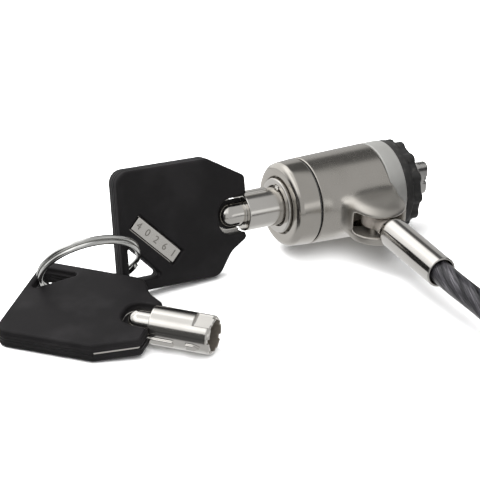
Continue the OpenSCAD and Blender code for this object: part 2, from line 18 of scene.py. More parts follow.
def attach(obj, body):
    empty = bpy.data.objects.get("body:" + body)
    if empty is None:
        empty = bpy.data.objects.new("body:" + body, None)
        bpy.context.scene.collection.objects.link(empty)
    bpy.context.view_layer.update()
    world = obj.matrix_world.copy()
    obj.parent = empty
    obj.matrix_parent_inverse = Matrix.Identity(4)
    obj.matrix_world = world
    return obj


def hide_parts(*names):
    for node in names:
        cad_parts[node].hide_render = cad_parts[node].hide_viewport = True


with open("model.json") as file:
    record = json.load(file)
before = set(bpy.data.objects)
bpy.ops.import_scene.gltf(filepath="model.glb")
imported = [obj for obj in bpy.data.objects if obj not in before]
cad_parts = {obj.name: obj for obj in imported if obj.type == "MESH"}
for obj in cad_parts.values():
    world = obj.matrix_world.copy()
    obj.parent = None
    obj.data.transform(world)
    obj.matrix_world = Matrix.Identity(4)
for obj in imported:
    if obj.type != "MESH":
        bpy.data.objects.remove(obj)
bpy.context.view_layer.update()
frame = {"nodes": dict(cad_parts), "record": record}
MM = 0.001

# %% [markdown]
# ## Where things are
# The lock lies with its key end raised by 3.5 degrees, so it has a frame of its own: X
# along the lock, Y away from the cable, Z up and a little forward. Each key has one too:
# u along the barrel, v across the head. A piece is drawn in the frame where it is
# simplest, and one matrix carries its mesh to the table.

# %% The lock's and the keys' own frames
NOSE_LIFT = radians(3.5)
BAND_R, BUMPER_L = 9.0, 4.0
FLOOR_Z = -(BAND_R * cos(NOSE_LIFT) - BUMPER_L * sin(NOSE_LIFT)) - 0.02
X_BAND = -4.0
X_SLEEVE = X_BAND - 3.68
X_SLEEVE_END = X_SLEEVE - 15.4
X_CAP = X_SLEEVE_END - 0.38
X_NOSE = X_CAP - 4.8
X_PLUG = X_NOSE - 0.7
X_SHOULDER = X_PLUG - 8.0
X_PIVOT = X_SLEEVE - 5.8
PIVOT_OUT = 12.3
KEY_ROLL = 14.5
KEY_2_HEADING = -50.6
HOLE_U = -24.1
RING_X = (X_SHOULDER + HOLE_U) * cos(NOSE_LIFT) - 9.85


def turn(x, y, z):
    return Euler([radians(a) for a in (x, y, z)], "XYZ").to_matrix().to_4x4()


def shift(x, y, z=0):
    return Matrix.Translation((x, y, z))


LOCK = Matrix.Rotation(NOSE_LIFT, 4, "Y")
KEY_1 = LOCK @ shift(X_SHOULDER, 0) @ turn(90 - KEY_ROLL, 0, 0)
heading = radians(KEY_2_HEADING)
KEY_2_HOLE = (RING_X - 11.46, -1.34, FLOOR_Z + 3.77)
hole_to_head = shift(-HOLE_U * cos(heading), -HOLE_U * sin(heading))
KEY_2 = shift(*KEY_2_HOLE) @ hole_to_head @ turn(187.5, -0.4, KEY_2_HEADING)
RING = shift(RING_X, -1.55, FLOOR_Z + 8.85) @ turn(-54.6, 9.8, -3.1)
FERRULE = LOCK @ shift(X_PIVOT, -PIVOT_OUT) @ turn(2.5, 0, 0)
print("floor at", round(FLOOR_Z, 3), "mm, pivot at", [round(c, 2) for c in FERRULE.translation])

# %% [markdown]
# ## Camera
# A long lens from the left, a little above, as a product is shot. The lens length goes
# with the longer side of the picture, which is 500 pixels here.

# %% Camera
PICTURE, FOCAL, SENSOR = 500, 3413.9, 36


def show(name, data):
    """A new object in the scene, which holds the data."""
    made = bpy.data.objects.new(name, data)
    bpy.context.scene.collection.objects.link(made)
    return made


def aimed(place, direction):
    """The matrix of a camera or a lamp that looks along the direction."""
    return Matrix.Translation(place) @ direction.to_track_quat("-Z", "Y").to_matrix().to_4x4()


camera_data = bpy.data.cameras.new("camera")
camera = show("camera", camera_data)
camera_data.sensor_width = SENSOR
camera_data.lens = FOCAL / PICTURE * SENSOR
camera_data.clip_start, camera_data.clip_end = 0.05, 20
yaw, down = radians(29.48), radians(27.52)
looking = Vector((sin(yaw) * cos(down), cos(yaw) * cos(down), -sin(down)))
camera.matrix_world = aimed(Vector((-329.4, -517.5, 303.7)) * MM, looking)
bpy.context.scene.camera = camera
print("lens", round(camera_data.lens, 1), "mm")

# %% [markdown]
# ## Shader maths as Python
# A material's nodes are sums of sockets. `Knob` wraps one socket and gives it the usual
# operators, so that `1 - mask * 0.3` builds the Math nodes by itself. `Mixer` has the
# method that makes any node. `Recipe` adds what one material needs: its Principled
# shader, noise, cells and scratches.

# %% Knob, Mixer and Recipe
class Knob:
    """One output socket that can be used in sums."""

    def __init__(self, recipe, socket):
        self.recipe, self.socket = recipe, socket

    def sum(self, operation, *values):
        return self.recipe.node("ShaderNodeMath", {"operation": operation}, [self, *values])

    def __rsub__(self, other):
        return self.recipe.node("ShaderNodeMath", {"operation": "SUBTRACT"}, [other, self])

    def between(self, low, high):
        """0 below low, 1 above high, smooth in the middle."""
        return self.recipe.node(
            "ShaderNodeMapRange", {"interpolation_type": "SMOOTHSTEP", "clamp": True}, [self, low, high, 0.0, 1.0]
        )


def operator(operation):
    return lambda knob, *values: knob.sum(operation, *values)


for method, operation in (
    ("__add__", "ADD"), ("__radd__", "ADD"), ("__sub__", "SUBTRACT"), ("__mul__", "MULTIPLY"),
    ("__rmul__", "MULTIPLY"), ("__pow__", "POWER"), ("fraction", "FRACT"), ("sine", "SINE"), ("root", "SQRT"),
):
    setattr(Knob, method, operator(operation))


class Mixer:
    """A tree of nodes, with one method that makes any node."""

    family = "ShaderNode"

    def __init__(self, tree):
        self.tree = tree

    def node(self, kind, settings=(), inputs=(), out=0):
        made = self.tree.nodes.new(kind)
        for key, value in dict(settings).items():
            setattr(made, key, value)
        for key, value in inputs.items() if isinstance(inputs, dict) else enumerate(inputs):
            if isinstance(value, Knob):
                self.tree.links.new(value.socket, made.inputs[key])
            else:
                made.inputs[key].default_value = value
        return Knob(self, made.outputs[out])

    def make(self, kind, **inputs):
        """A node of the tree's own family, with its inputs by name."""
        return self.node(self.family + kind, {}, {name.replace("_", " "): value for name, value in inputs.items()})

    def place(self, kind="Object"):
        return self.node("ShaderNodeTexCoord", out=["Generated", "Normal", "UV", "Object"].index(kind))

    def parts_of(self, where):
        split = self.node("ShaderNodeSeparateXYZ", {}, [where])
        return [Knob(self, part) for part in split.socket.node.outputs]

    def blend(self, mask, a, b):
        """Colour a where mask is 0, and b where it is 1."""
        mixed = self.tree.nodes.new("ShaderNodeMix")
        mixed.data_type = "RGBA"
        self.tree.links.new(mask.socket, mixed.inputs[0])
        for slot, value in ((6, a), (7, b)):
            if isinstance(value, Knob):
                self.tree.links.new(value.socket, mixed.inputs[slot])
            else:
                mixed.inputs[slot].default_value = (*value, 1)
        return Knob(self, mixed.outputs[2])


class Recipe(Mixer):
    """One procedural material. Its patterns lie in the object's own space."""

    def __init__(self, name, **fixed):
        self.material = bpy.data.materials.new(name)
        self.material.use_nodes = True
        super().__init__(self.material.node_tree)
        self.shader = next(n for n in self.tree.nodes if n.type == "BSDF_PRINCIPLED")
        for socket, value in fixed.items():
            self.shader.inputs[socket.replace("_", " ")].default_value = value
        self.where = self.place()

    def moved(self, scale, rotation=(0, 0, 0)):
        return self.make("Mapping", Vector=self.where, Scale=scale, Rotation=rotation)

    def noise(self, scale, detail=3.0, roughness=0.55, where=None):
        return self.make("TexNoise", Vector=where or self.where, Scale=scale, Detail=detail, Roughness=roughness)

    def cells(self, scale, feature="F1", where=None):
        places = {"Vector": where or self.where, "Scale": scale}
        return self.node("ShaderNodeTexVoronoi", {"feature": feature}, places)

    def scratches(self, scale, stretch, rotation, width):
        """Thin lines along the edges of long cells."""
        return 1 - self.cells(scale, "DISTANCE_TO_EDGE", self.moved((1, stretch, 1), rotation)).between(0.0, width)

    def attribute(self, name):
        return self.node("ShaderNodeAttribute", {"attribute_name": name}, out=2)

    def set(self, **links):
        for name, knob in links.items():
            self.tree.links.new(knob.socket, self.shader.inputs[name.replace("_", " ")])
        return self.material

    def finish(self, colour, shine, height, strength, depth_mm):
        bump = self.make("Bump", Height=height, Strength=strength, Distance=depth_mm * MM)
        return self.set(Base_Color=colour, Roughness=shine, Normal=bump)


# %% [markdown]
# ## Plated metal
# The lock is nickel plated and polished by hand: a warm grey with soft, slightly uneven
# reflections, hairline scratches and faint handling marks. Colour barely changes, so
# nearly all of the detail goes into roughness and a very shallow bump.

# %% Metals
def plated(name, tint, dull, rough, grain=(1, 1, 1), grain_depth=0.004, spread=0.10, bore=None, bare=0.75):
    """Plated metal. Two marks of the mesh change it: inside a "bore" the colour is painted darker, in the colour
    bore, and the metal less metallic, as painted shade for the inside of bores and pockets, where the plating is
    also thin and dull; where it is "cast" it is rougher."""
    mix = Recipe(name, Metallic=1.0)
    clouds = mix.noise(260, 4.0)
    handling = mix.noise(90, 2.0).between(0.45, 0.75)
    lines = mix.noise(2600, 2.0, 0.7, mix.moved(grain))
    scratch = mix.scratches(900, 0.06, (0.3, 0.2, 0.7), 0.02)
    colour = mix.blend(clouds * 0.6 + handling * 0.4, tint, dull)
    shine = clouds * spread + handling * spread * 0.6 + lines * 0.06 + scratch * 0.05 + (rough - spread * 0.7)
    relief = lines * 0.7 + clouds * 0.6 + scratch * -0.25
    if bore:
        # Painted shade: inside a bore the colour goes darker and the metal duller.
        inside = mix.attribute("bore")
        colour = mix.blend(inside, colour, bore)
        mix.set(Metallic=1 - inside * bare)
        shine = shine + mix.attribute("cast") * 0.20
    return mix.finish(colour, shine, relief, 0.5, grain_depth)


ALONG = (0.05, 1, 1)
WARM = ((0.55, 0.525, 0.485), (0.46, 0.437, 0.400))
KEY_WHITE = ((0.72, 0.70, 0.665), (0.62, 0.60, 0.565))
nickel = plated("nickel_plate", *WARM, 0.21, grain=ALONG)
cap_nickel = plated("cap_nickel_plate", *WARM, 0.14, grain=ALONG, spread=0.06)
# The bore colours below are darker metal, painted as the shade inside bores and pockets.
cast_nickel = plated("cast_nickel_plate", *WARM, 0.21, grain=ALONG, bore=(0.19, 0.168, 0.138), bare=0.8)
polished = plated("polished_nickel", (0.64, 0.62, 0.59), (0.55, 0.53, 0.50), 0.10, grain=(1, 0.05, 1), spread=0.05,
                  bore=(0.33, 0.30, 0.27), bare=0.7)
key_nickel = plated("key_nickel_plate", *KEY_WHITE, 0.13, grain=ALONG, spread=0.06)
key_tube_nickel = plated("key_tube_nickel", *KEY_WHITE, 0.12, grain=ALONG, spread=0.05,
                         bore=(0.16, 0.142, 0.12), bare=0.6)
# Painted shade: dark nickel for the digits, standing for the shade in stamped grooves.
stamped = plated("stamped_nickel", (0.31, 0.295, 0.27), (0.25, 0.235, 0.215), 0.36)
ring_steel = plated("spring_steel", (0.70, 0.70, 0.68), (0.55, 0.55, 0.53), 0.13, spread=0.06)
hard_steel = plated("hard_steel", (0.62, 0.61, 0.59), (0.48, 0.47, 0.45), 0.26)
brass = plated("drawn_brass", (0.78, 0.60, 0.30), (0.60, 0.43, 0.20), 0.28)
crimp_metal = plated("pressed_aluminium", (0.70, 0.70, 0.69), (0.56, 0.56, 0.55), 0.38, grain_depth=0.012)

mix = Recipe("grey_band", Metallic=0.7)
turned = mix.noise(5200, 2.0, 0.6, mix.moved((1, 0.04, 0.04)))
clouds = mix.noise(220)
colour = mix.blend(clouds, (0.345, 0.342, 0.328), (0.40, 0.397, 0.382))
band_grey = mix.finish(colour, clouds * 0.1 + turned * 0.1 + 0.42, turned, 0.35, 0.006)
print("metals made")

# %% [markdown]
# ## Rubber, moulded covers, washer and strap
# Rubber is dull, with a fine tooth and a little dust in its pores. The key covers are
# spark-eroded moulds: a tight grain, glossier where fingers have polished it. The strap
# is hook-and-loop tape, whose loops are a fuzz of tiny cells.

# %% Rubber and washer
mix = Recipe("bumper_rubber", Specular_IOR_Level=0.35)
tooth = mix.noise(3400, 3.0, 0.7)
dust = mix.noise(700, 4.0).between(0.52, 0.80)
colour = mix.blend(dust, (0.0135, 0.0133, 0.0130), (0.038, 0.036, 0.034))
rubber = mix.finish(colour, dust * 0.12 + tooth * 0.12 + 0.52, tooth, 0.5, 0.02)

mix = Recipe("washer_nylon")
specks = mix.noise(2400)
washer_nylon = mix.set(Base_Color=mix.blend(specks, (0.02,) * 3, (0.05,) * 3), Roughness=specks * 0.2 + 0.4)
print("rubber and washer made")

# %% Key covers and straps
mix = Recipe("key_cover_plastic", Specular_IOR_Level=0.17)
grain, pores = mix.cells(5200), mix.noise(6500, 2.0, 0.6)
polish = mix.noise(110).between(0.40, 0.72)
scuff = mix.scratches(420, 0.08, (0.2, 0.5, 1.1), 0.012)
colour = mix.blend(polish * 0.5 + scuff * 0.35, (0.0055, 0.0051, 0.0054), (0.0120, 0.0112, 0.0118))
shine = 0.52 - polish * 0.12 + pores * 0.10 + scuff * 0.05
cover_plastic = mix.finish(colour, shine, grain * 0.6 + pores, 0.35, 0.018)

mix = Recipe("strap_loop_tape", Sheen_Weight=0.35, Specular_IOR_Level=0.2)
loops, fuzz = mix.cells(1900), mix.noise(5200, 3.0, 0.7)
across, along, _ = mix.parts_of(mix.where)
weave = ((across * 9000).sine() * (along * 9000).sine()) * 0.5 + 0.5
colour = mix.blend(fuzz, (0.012, 0.012, 0.013), (0.05, 0.05, 0.052))
strap_tape = mix.finish(colour, fuzz * 0.15 + 0.78, loops * 0.8 + fuzz * 0.5 + weave * 0.3, 0.8, 0.12)
print("covers and straps made")

# %% [markdown]
# ## The cable's look
# Under a smoky vinyl jacket lie six twisted strands, each of many fine wires. The jacket is smooth, so it takes
# the clear coat, and the strands are a relief below it. The colour carries the strands' metal tone together with
# painted light: painted shade in the valleys between the strands, and painted highlights and glints on their
# crowns. The pattern must follow the cable round every bend, so it reads the tube's own UV map: u goes once round,
# and v runs along it, counted in the cable's own circumferences.

# %% Cable finish
STRANDS, LAY, WIRES, WIRE_LAY = 6.0, 0.42, 4.0, 3.1
mix = Recipe("cable_vinyl", Coat_Weight=0.5, Coat_Roughness=0.12, Coat_IOR=1.45, Specular_IOR_Level=0.3)
round_it, along_it, _ = mix.parts_of(mix.place("UV"))
strand = (round_it * STRANDS + along_it * STRANDS * LAY).fraction()
across = strand * 2 - 1
crown = (1 - across * across).root()
wire = (strand * WIRES - along_it * WIRE_LAY).fraction() * 2 - 1
wire_crown = (1 - wire * wire).root()
flow = mix.node("ShaderNodeCombineXYZ", {}, [strand * 3, along_it * 0.5, round_it])
glint = mix.noise(5, 3.0, 0.65, flow).between(0.38, 0.74)
# Painted light: the crowns of the strands are lit, with painted glints along them, and the valleys between them
# are in painted shade.
light = (crown ** 2.6) * (wire_crown * 0.6 + 0.4) * (glint * 0.85 + 0.15)
colour = mix.blend(light * (mix.noise(180) * 0.5 + 0.75), (0.003, 0.003, 0.004), (0.128, 0.122, 0.135))
mix.set(Metallic=crown.between(0.35, 0.9) * 0.45)
cable_vinyl = mix.finish(colour, 0.42 - light * 0.14, crown * 0.8 + wire_crown * crown * 0.2, 0.8, 0.40)
print("cable finish made")

# %% [markdown]
# ## Finishing a piece
# Every mesh ends the same way: carried from its own frame to the table, turned into
# metres, given its material, and tied to the body that it moves with.

# %% Finish a piece
def settle(name, points, faces, at, material, body, slot, stands_for=(), uvs=None, **marks):
    mesh = bpy.data.meshes.new(name)
    placed = np.asarray(points, float) @ np.array(at.to_3x3()).T + np.array(at.translation)
    mesh.from_pydata((placed * MM).tolist(), [], [list(map(int, f)) for f in faces])
    if uvs is not None:
        layer = mesh.uv_layers.new(name="UVMap")
        layer.data.foreach_set("uv", np.asarray(uvs, np.float32).ravel())
    for mark, values in marks.items():
        mesh.attributes.new(mark, "FLOAT", "POINT").data.foreach_set("value", np.asarray(values, np.float32))
    mesh.validate()
    mesh.polygons.foreach_set("use_smooth", [True] * len(mesh.polygons))
    return adopt(name, mesh, material, body, stands_for)


def adopt(name, mesh, material, body, stands_for=()):
    mesh.materials.clear()
    mesh.materials.append(material)
    mesh.update()
    piece = show(name, mesh)
    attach(piece, body)
    if stands_for:
        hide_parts(*stands_for)
    print(f"{name}: {len(mesh.polygons)} faces")
    return piece


# %% [markdown]
# ## The cable
# The route is the one the solids follow, in millimetres. The free stretches run on one
# smooth curve through their points; the stored length is wound in four layers, and its
# radius swings in and out at a steady rate. At the end the cable climbs onto the coil,
# turns back on itself in a loop, and both ends meet in the crimp sleeve.

# %% Route of the cable
CABLE_D = 4.7
CABLE_R = CABLE_D / 2
CRIMP_WALL, CRIMP_L, CRIMP_SHIFT = 0.9, 13.0, CABLE_D + 0.3
COIL_R, COIL_TURNS = 25.0, 10
TURN_STEP, LAYER_STEP = CABLE_D + 0.6, CABLE_D + 0.5
SWING = COIL_TURNS / 4 * TURN_STEP
RUN_Y = -73.0
COIL_AT = (34.5, RUN_Y + COIL_R + SWING / 2)
COIL_Z = FLOOR_Z + CABLE_R + 0.5 + 0.22
COIL_TOP = COIL_Z + 3 * LAYER_STEP
LIE_Z = COIL_TOP + 2 * CABLE_R + CRIMP_WALL + 0.02
FERRULE_L, MOUTH_DEPTH = 24.4, 4.0
run_start = FERRULE @ Vector((0, -(FERRULE_L - MOUTH_DEPTH), 0))
run_mouth = FERRULE @ Vector((0, -FERRULE_L, 0))


def on_circle(centre, radius, angle, z):
    return (centre[0] + radius * cos(angle), centre[1] + radius * sin(angle), z)


def coil_point(count):
    """Where the cable is after so many turns of the coil."""
    layer = min(3, int(count / (COIL_TURNS / 4)))
    part = count / (COIL_TURNS / 4) - layer
    radius = COIL_R - SWING / 2 + SWING * ((1 - part) if layer % 2 == 0 else part)
    climb = sum(min(1, max(0, (count - k * COIL_TURNS / 4 + 0.25) * 2)) for k in (1, 2, 3))
    last = max(0, (count - COIL_TURNS + 0.125) * 8) * (LIE_Z - COIL_TOP)
    angle = pi * (1.5 + 2 * count)
    return on_circle(COIL_AT, radius, angle, COIL_Z + LAYER_STEP * climb + last)


def bend(centre, radius, first, heights):
    """Points of a bend, one every 15 degrees."""
    return [on_circle(centre, radius, radians(first + 15 * k), z) for k, z in enumerate(heights)]


run = [tuple(run_start), tuple(run_mouth), (-13.4, -42, -0.6), (-12.6, -48.6, -1.5)]
run += bend((7.9, RUN_Y + 20), 20, 180, [COIL_Z + 3.4 * (1 - sin(radians(15 * k))) for k in range(7)])
run += [(x, RUN_Y, COIL_Z) for x in (12.0, 18.0, 24.0, COIL_AT[0] - CABLE_D)]
coil = [coil_point(k / 24) for k in range(24 * COIL_TURNS + 1)]
tail_x = COIL_AT[0] + CABLE_R
tail = [(tail_x, RUN_Y, LIE_Z), *bend((tail_x + 2, RUN_Y + 14), 14, 270, [LIE_Z] * 7)]
tail += [(tail_x + 16, RUN_Y + 15, LIE_Z)]
crimp_x = tail[-1][0] + CRIMP_SHIFT / 2
LOOP_L, LOOP_R = 34.0, 10.5
loop_y = tail[-1][1] + CRIMP_L
bend_y = loop_y + LOOP_L - LOOP_R
half = CRIMP_SHIFT / 2
leg = [(half, loop_y), (half, loop_y + CABLE_D), (half + 2.6, loop_y + 11), (LOOP_R - 0.9, bend_y - 5)]
turned_back = [on_circle((0, bend_y), LOOP_R, radians(a), 0)[:2] for a in np.linspace(-10, 190, 15)]
# The cable comes through the sleeve's left bore, goes round the loop and back into the right bore.
loop = [(-x, y) for x, y in leg] + turned_back[::-1] + leg[:0:-1] + [(half, loop_y), (half, loop_y - 6)]
route = run + coil + tail + [(crimp_x + x, y, LIE_Z) for x, y in loop]
route_length = sum(dist(a, b) for a, b in zip(route, route[1:]))
print("cable length", round(route_length), "mm in", len(route), "points")


# %% Smooth curve and tube
def mixed(t, low, high, a, b):
    """a where t is low, b where it is high."""
    return (high - t) / (high - low) * a + (t - low) / (high - low) * b


def smooth_line(points, step):
    """A curve through the points, with a point about every step millimetres."""
    p = np.asarray(points, float)
    p = p[np.r_[True, np.linalg.norm(np.diff(p, axis=0), axis=1) > 1e-6]]
    ends = np.vstack([2 * p[0] - p[1], p, 2 * p[-1] - p[-2]])
    line = []
    for a, b, c, d in zip(ends, ends[1:], ends[2:], ends[3:]):
        t0, t1, t2, t3 = np.cumsum([0, *[np.linalg.norm(q - r) ** 0.5 for q, r in ((b, a), (c, b), (d, c))]])
        for t in np.linspace(t1, t2, max(1, round(np.linalg.norm(c - b) / step)), endpoint=False):
            middle = mixed(t, t1, t2, b, c)
            first = mixed(t, t0, t2, mixed(t, t0, t1, a, b), middle)
            last = mixed(t, t1, t3, middle, mixed(t, t2, t3, c, d))
            line.append(mixed(t, t1, t2, first, last))
    return np.array(line + [p[-1]])


def sheet(rows, columns, closed=False):
    """Quads between rows of points. Each row closes on itself; closed rows meet again."""
    ways = [(i, (i + 1) % rows, k, (k + 1) % columns) for i in range(rows - (not closed)) for k in range(columns)]
    return [(i * columns + k, i * columns + n, j * columns + n, j * columns + k) for i, j, k, n in ways]


def tube(line, radius, sides):
    """Points, faces and UVs of a tube that doesn't twist, with closed ends."""
    line = np.asarray(line, float)
    ahead = np.gradient(line, axis=0)
    ahead /= np.linalg.norm(ahead, axis=1)[:, None]
    side = np.cross(ahead[0], (0, 0, 1.0))
    side /= np.linalg.norm(side)
    angles = np.linspace(0, 2 * np.pi, sides, endpoint=False)
    rings = []
    for centre, direction in zip(line, ahead):
        side = side - direction * side.dot(direction)
        side /= np.linalg.norm(side)
        up = np.cross(side, direction)
        rings.append(centre + radius * (np.cos(angles)[:, None] * side + np.sin(angles)[:, None] * up))
    points = np.concatenate(rings)
    run_of = np.r_[0, np.cumsum(np.linalg.norm(np.diff(line, axis=0), axis=1))] / (2 * np.pi * radius)
    uvs = [((k + du) / sides, run_of[i + dv]) for i in range(len(line) - 1) for k in range(sides)
           for du, dv in ((0, 0), (1, 0), (1, 1), (0, 1))]
    ends = [tuple(range(sides))[::-1], tuple(range(len(points) - sides, len(points)))]
    return points, sheet(len(line), sides) + ends, uvs + [(0.5, 0)] * (2 * sides)


cable_line = smooth_line(route, 1.6)
points, faces, uvs = tube(cable_line, CABLE_R - 0.04, 20)
cable = settle("cable", points, faces, Matrix.Identity(4), cable_vinyl, "cable", "cable_jacket",
               ("cable_run", "cable_coil", "cable_tail", "end_loop"), uvs)

# %% [markdown]
# ## Three ways to make a form
# Turned parts are lathed from a profile. Flat stampings and mouldings are an outline with
# a wall, built in levels so that the edge can be rounded. The rest, such as the clevis
# that flows into its sleeve, is carved: its distance function is written down, with soft
# unions for the fillets, and a mesh is laid on the zero surface. That gives one clean
# skin where a boolean would leave seams, and every fillet is a number.

# %% Rounded corners
def rounded(corners, radii, step=12.0):
    """A closed line through the corners, each with its own round, in steps of some degrees."""
    line = []
    count = len(corners)
    for i, (corner, radius) in enumerate(zip(corners, radii)):
        here = np.array(corner, float)
        back = np.array(corners[i - 1], float) - here
        ahead = np.array(corners[(i + 1) % count], float) - here
        back, ahead = back / np.linalg.norm(back), ahead / np.linalg.norm(ahead)
        half_angle = acos(np.clip(back.dot(ahead), -1, 1)) / 2
        if radius <= 0 or half_angle > 1.56:
            line.append(here)
            continue
        centre = here + (back + ahead) / np.linalg.norm(back + ahead) * radius / sin(half_angle)
        start = here + back * radius / tan(half_angle) - centre
        end = here + ahead * radius / tan(half_angle) - centre
        sweep = atan2(start[0] * end[1] - start[1] * end[0], start.dot(end))
        for t in np.linspace(0, 1, max(2, round(abs(degrees(sweep)) / step) + 1)):
            c, s = cos(sweep * t), sin(sweep * t)
            line.append(centre + (start[0] * c - start[1] * s, start[0] * s + start[1] * c))
    return np.array(line)


# %% Lathe
def anticlockwise(loop):
    x, y = loop[:, 0], loop[:, 1]
    return loop[::-1] if (x * np.roll(y, -1) - np.roll(x, -1) * y).sum() < 0 else loop


def lathe(profile, sides=128):
    """A closed profile of (along, radius) turned round the X axis."""
    profile = anticlockwise(np.asarray(profile, float))
    angles = np.linspace(0, 2 * np.pi, sides, endpoint=False)
    points = [(a, r * cos(t), r * sin(t)) for t in angles for a, r in profile]
    return points, [f[::-1] for f in sheet(sides, len(profile), closed=True)]


# %% Outline with a wall
def offset(loop, inset):
    """A closed line moved to its left."""
    ahead = np.roll(loop, -1, axis=0) - loop
    ahead /= np.linalg.norm(ahead, axis=1)[:, None]
    before = np.roll(ahead, 1, axis=0)
    normal = np.c_[-(ahead + before)[:, 1], (ahead + before)[:, 0]]
    normal /= (normal ** 2).sum(1)[:, None] / 2
    return loop + normal * inset


def slab(outline, holes, levels):
    """A flat part: levels are (inset, height), from the lower face to the upper one."""
    loops = [anticlockwise(outline), *(anticlockwise(hole)[::-1] for hole in holes)]
    points, faces, rings = [], [], []
    for inset, height in levels:
        ring = []
        for loop in loops:
            ring.append(len(points))
            points += [(x, y, height) for x, y in offset(loop, inset)]
        rings.append(ring)
    for low, high in zip(rings, rings[1:]):
        for start_low, start_high, loop in zip(low, high, loops):
            n = len(loop)
            faces += [(start_low + i, start_low + (i + 1) % n, start_high + (i + 1) % n, start_high + i)
                      for i in range(n)]
    for ring, up in ((rings[0], False), (rings[-1], True)):
        flat = [[Vector((*points[s + i][:2], 0)) for i in range(len(loop))] for s, loop in zip(ring, loops)]
        numbers = [s + i for s, loop in zip(ring, loops) for i in range(len(loop))]
        for a, b, c in tessellate_polygon(flat):
            a, b, c = numbers[a], numbers[b], numbers[c]
            (xa, ya), (xb, yb), (xc, yc) = (points[q][:2] for q in (a, b, c))
            seen_from_above = (xb - xa) * (yc - ya) - (yb - ya) * (xc - xa) > 0
            faces.append((a, b, c) if seen_from_above == up else (a, c, b))
    return points, faces


def soft_edge(low, high, round_low, round_high, steps=4):
    """Levels of a wall from low to high with both of its edges rounded."""
    arc = [radians(90 * k / steps) for k in range(steps + 1)]
    lower = [(round_low * (1 - sin(a)), low + round_low * (1 - cos(a))) for a in arc]
    upper = [(round_high * (1 - cos(a)), high - round_high * (1 - sin(a))) for a in arc]
    return [(round_low + 0.06, low), *lower, *upper, (round_high + 0.06, high)]


# %% Carve
def melt(a, b, r):
    """Union of two distances with a fillet."""
    h = np.clip(0.5 + 0.5 * (b - a) / r, 0, 1)
    return b + (a - b) * h - r * h * (1 - h)


def common(a, b, r):
    return -melt(-a, -b, r)


def without(solid, *tools):
    """The solid with every tool cut out of it. A tool is its distance and the round of its edge."""
    for tool, r in tools:
        solid = -melt(-solid, tool, r)
    return solid


def drum(along, off, half, radius, edge):
    """A round drum: along from its middle, off from its axis."""
    a, b = np.abs(along) - (half - edge), off - (radius - edge)
    return np.hypot(np.maximum(a, 0), np.maximum(b, 0)) + np.minimum(np.maximum(a, b), 0) - edge


def block(x, y, z, half, edge):
    q = [np.abs(c) - (h - edge) for c, h in zip((x, y, z), half)]
    outside = np.sqrt(sum(np.maximum(c, 0) ** 2 for c in q))
    return outside + np.minimum(np.maximum(np.maximum(q[0], q[1]), q[2]), 0) - edge


def carve(shape, low, high, cell):
    """Points and faces of the surface where shape is 0. It is negative inside."""
    origin = np.array(low, float) - 1.5 * cell
    axes = [np.arange(o, h + 2 * cell, cell) for o, h in zip(origin, high)]
    value = shape(*np.meshgrid(*axes, indexing="ij"))
    cells = tuple(n - 1 for n in value.shape)
    total, count, quads = np.zeros((np.prod(cells), 3)), np.zeros(np.prod(cells)), []
    for axis in range(3):
        j, k = (axis + 1) % 3, (axis + 2) % 3
        near, far = np.moveaxis(value, axis, 0)[:-1], np.moveaxis(value, axis, 0)[1:]
        index = np.argwhere((near < 0) != (far < 0))
        a, b = near[tuple(index.T)], far[tuple(index.T)]
        index = np.insert(index[:, 1:], axis, index[:, 0], axis=1)
        crossing = index.astype(float)
        crossing[:, axis] += a / (a - b)
        around = []
        for dj, dk in ((-1, -1), (0, -1), (0, 0), (-1, 0)):
            corner = index.copy()
            corner[:, [j, k]] += (dj, dk)
            flat = np.ravel_multi_index(corner.T, cells)
            around.append(flat)
            count += np.bincount(flat, minlength=len(count))
            for c in range(3):
                total[:, c] += np.bincount(flat, crossing[:, c], minlength=len(count))
        quad = np.array(around).T
        quads.append(np.where((a < 0)[:, None], quad, quad[:, ::-1]))
    used = np.flatnonzero(count)
    number = np.full(len(count), -1)
    number[used] = np.arange(len(used))
    points = origin + cell * total[used] / count[used][:, None]
    for _ in range(4):
        value = shape(*points.T)
        steps = np.eye(3) * cell * 0.05
        slope = np.array([shape(*(points + d).T) - shape(*(points - d).T) for d in steps]).T / (cell * 0.1)
        length = np.maximum((slope ** 2).sum(1), 0.2)
        points -= slope * np.clip(value / length, -cell / 2, cell / 2)[:, None]
    return points, number[np.concatenate(quads)]


print("form helpers ready")

# %% [markdown]
# ## The swivel sleeve and its clevis
# The sleeve is a die-cast ring that turns freely on the lock. Two ears stand out from it
# and hold the end of the cable. The upper ear is a shallow dome that melts into the
# ring; the lower one is dished like a spoon, so that only a thin lip shows in front.

# %% Swivel sleeve
BODY_R, NOSE_R = 7.6, 8.6
EAR_R, EAR_GAP, EAR_T, FILLET = 5.6, 4.0, 1.9, 3.2
DOME_BACK, DOME_AHEAD, DOME_OUT, DOME_H = 5.3, 6.5, 6.8, 4.0
POCKET_R, GAP_END, DISH_UP, DISH_R, DISH_RIM = 4.45, 9.35, 12.0, 15.45, 4.85


def sleeve_solid(x, y, z):
    """The casting before anything is cut out of it."""
    off = np.hypot(y, z)
    part = np.clip((x - X_SLEEVE_END) / (X_SLEEVE - X_SLEEVE_END), 0, 1)
    outer = NOSE_R + (BAND_R - NOSE_R) * part
    half, along = (X_SLEEVE - X_SLEEVE_END) / 2, x - (X_SLEEVE + X_SLEEVE_END) / 2
    ring = drum(along, off - outer + BAND_R, half, BAND_R, 0.18)
    px, py = x - X_PIVOT, y + PIVOT_OUT
    flat = np.hypot(px / np.where(px < 0, DOME_BACK, DOME_AHEAD), (py - 0.9) / DOME_OUT)
    lump = ((flat ** 4 + (np.abs(z) / DOME_H) ** 4) ** (1 / 4) - 1) * DOME_H
    lower_ear = drum(z + (EAR_GAP + EAR_T) / 2, np.hypot(px - 0.2, py), EAR_T / 2, EAR_R - 0.3, 0.6)
    solid = melt(ring, melt(lump, lower_ear, 0.5), FILLET)
    return without(solid, (np.maximum(half - np.abs(along), off - BAND_R - 0.25), 0.25))


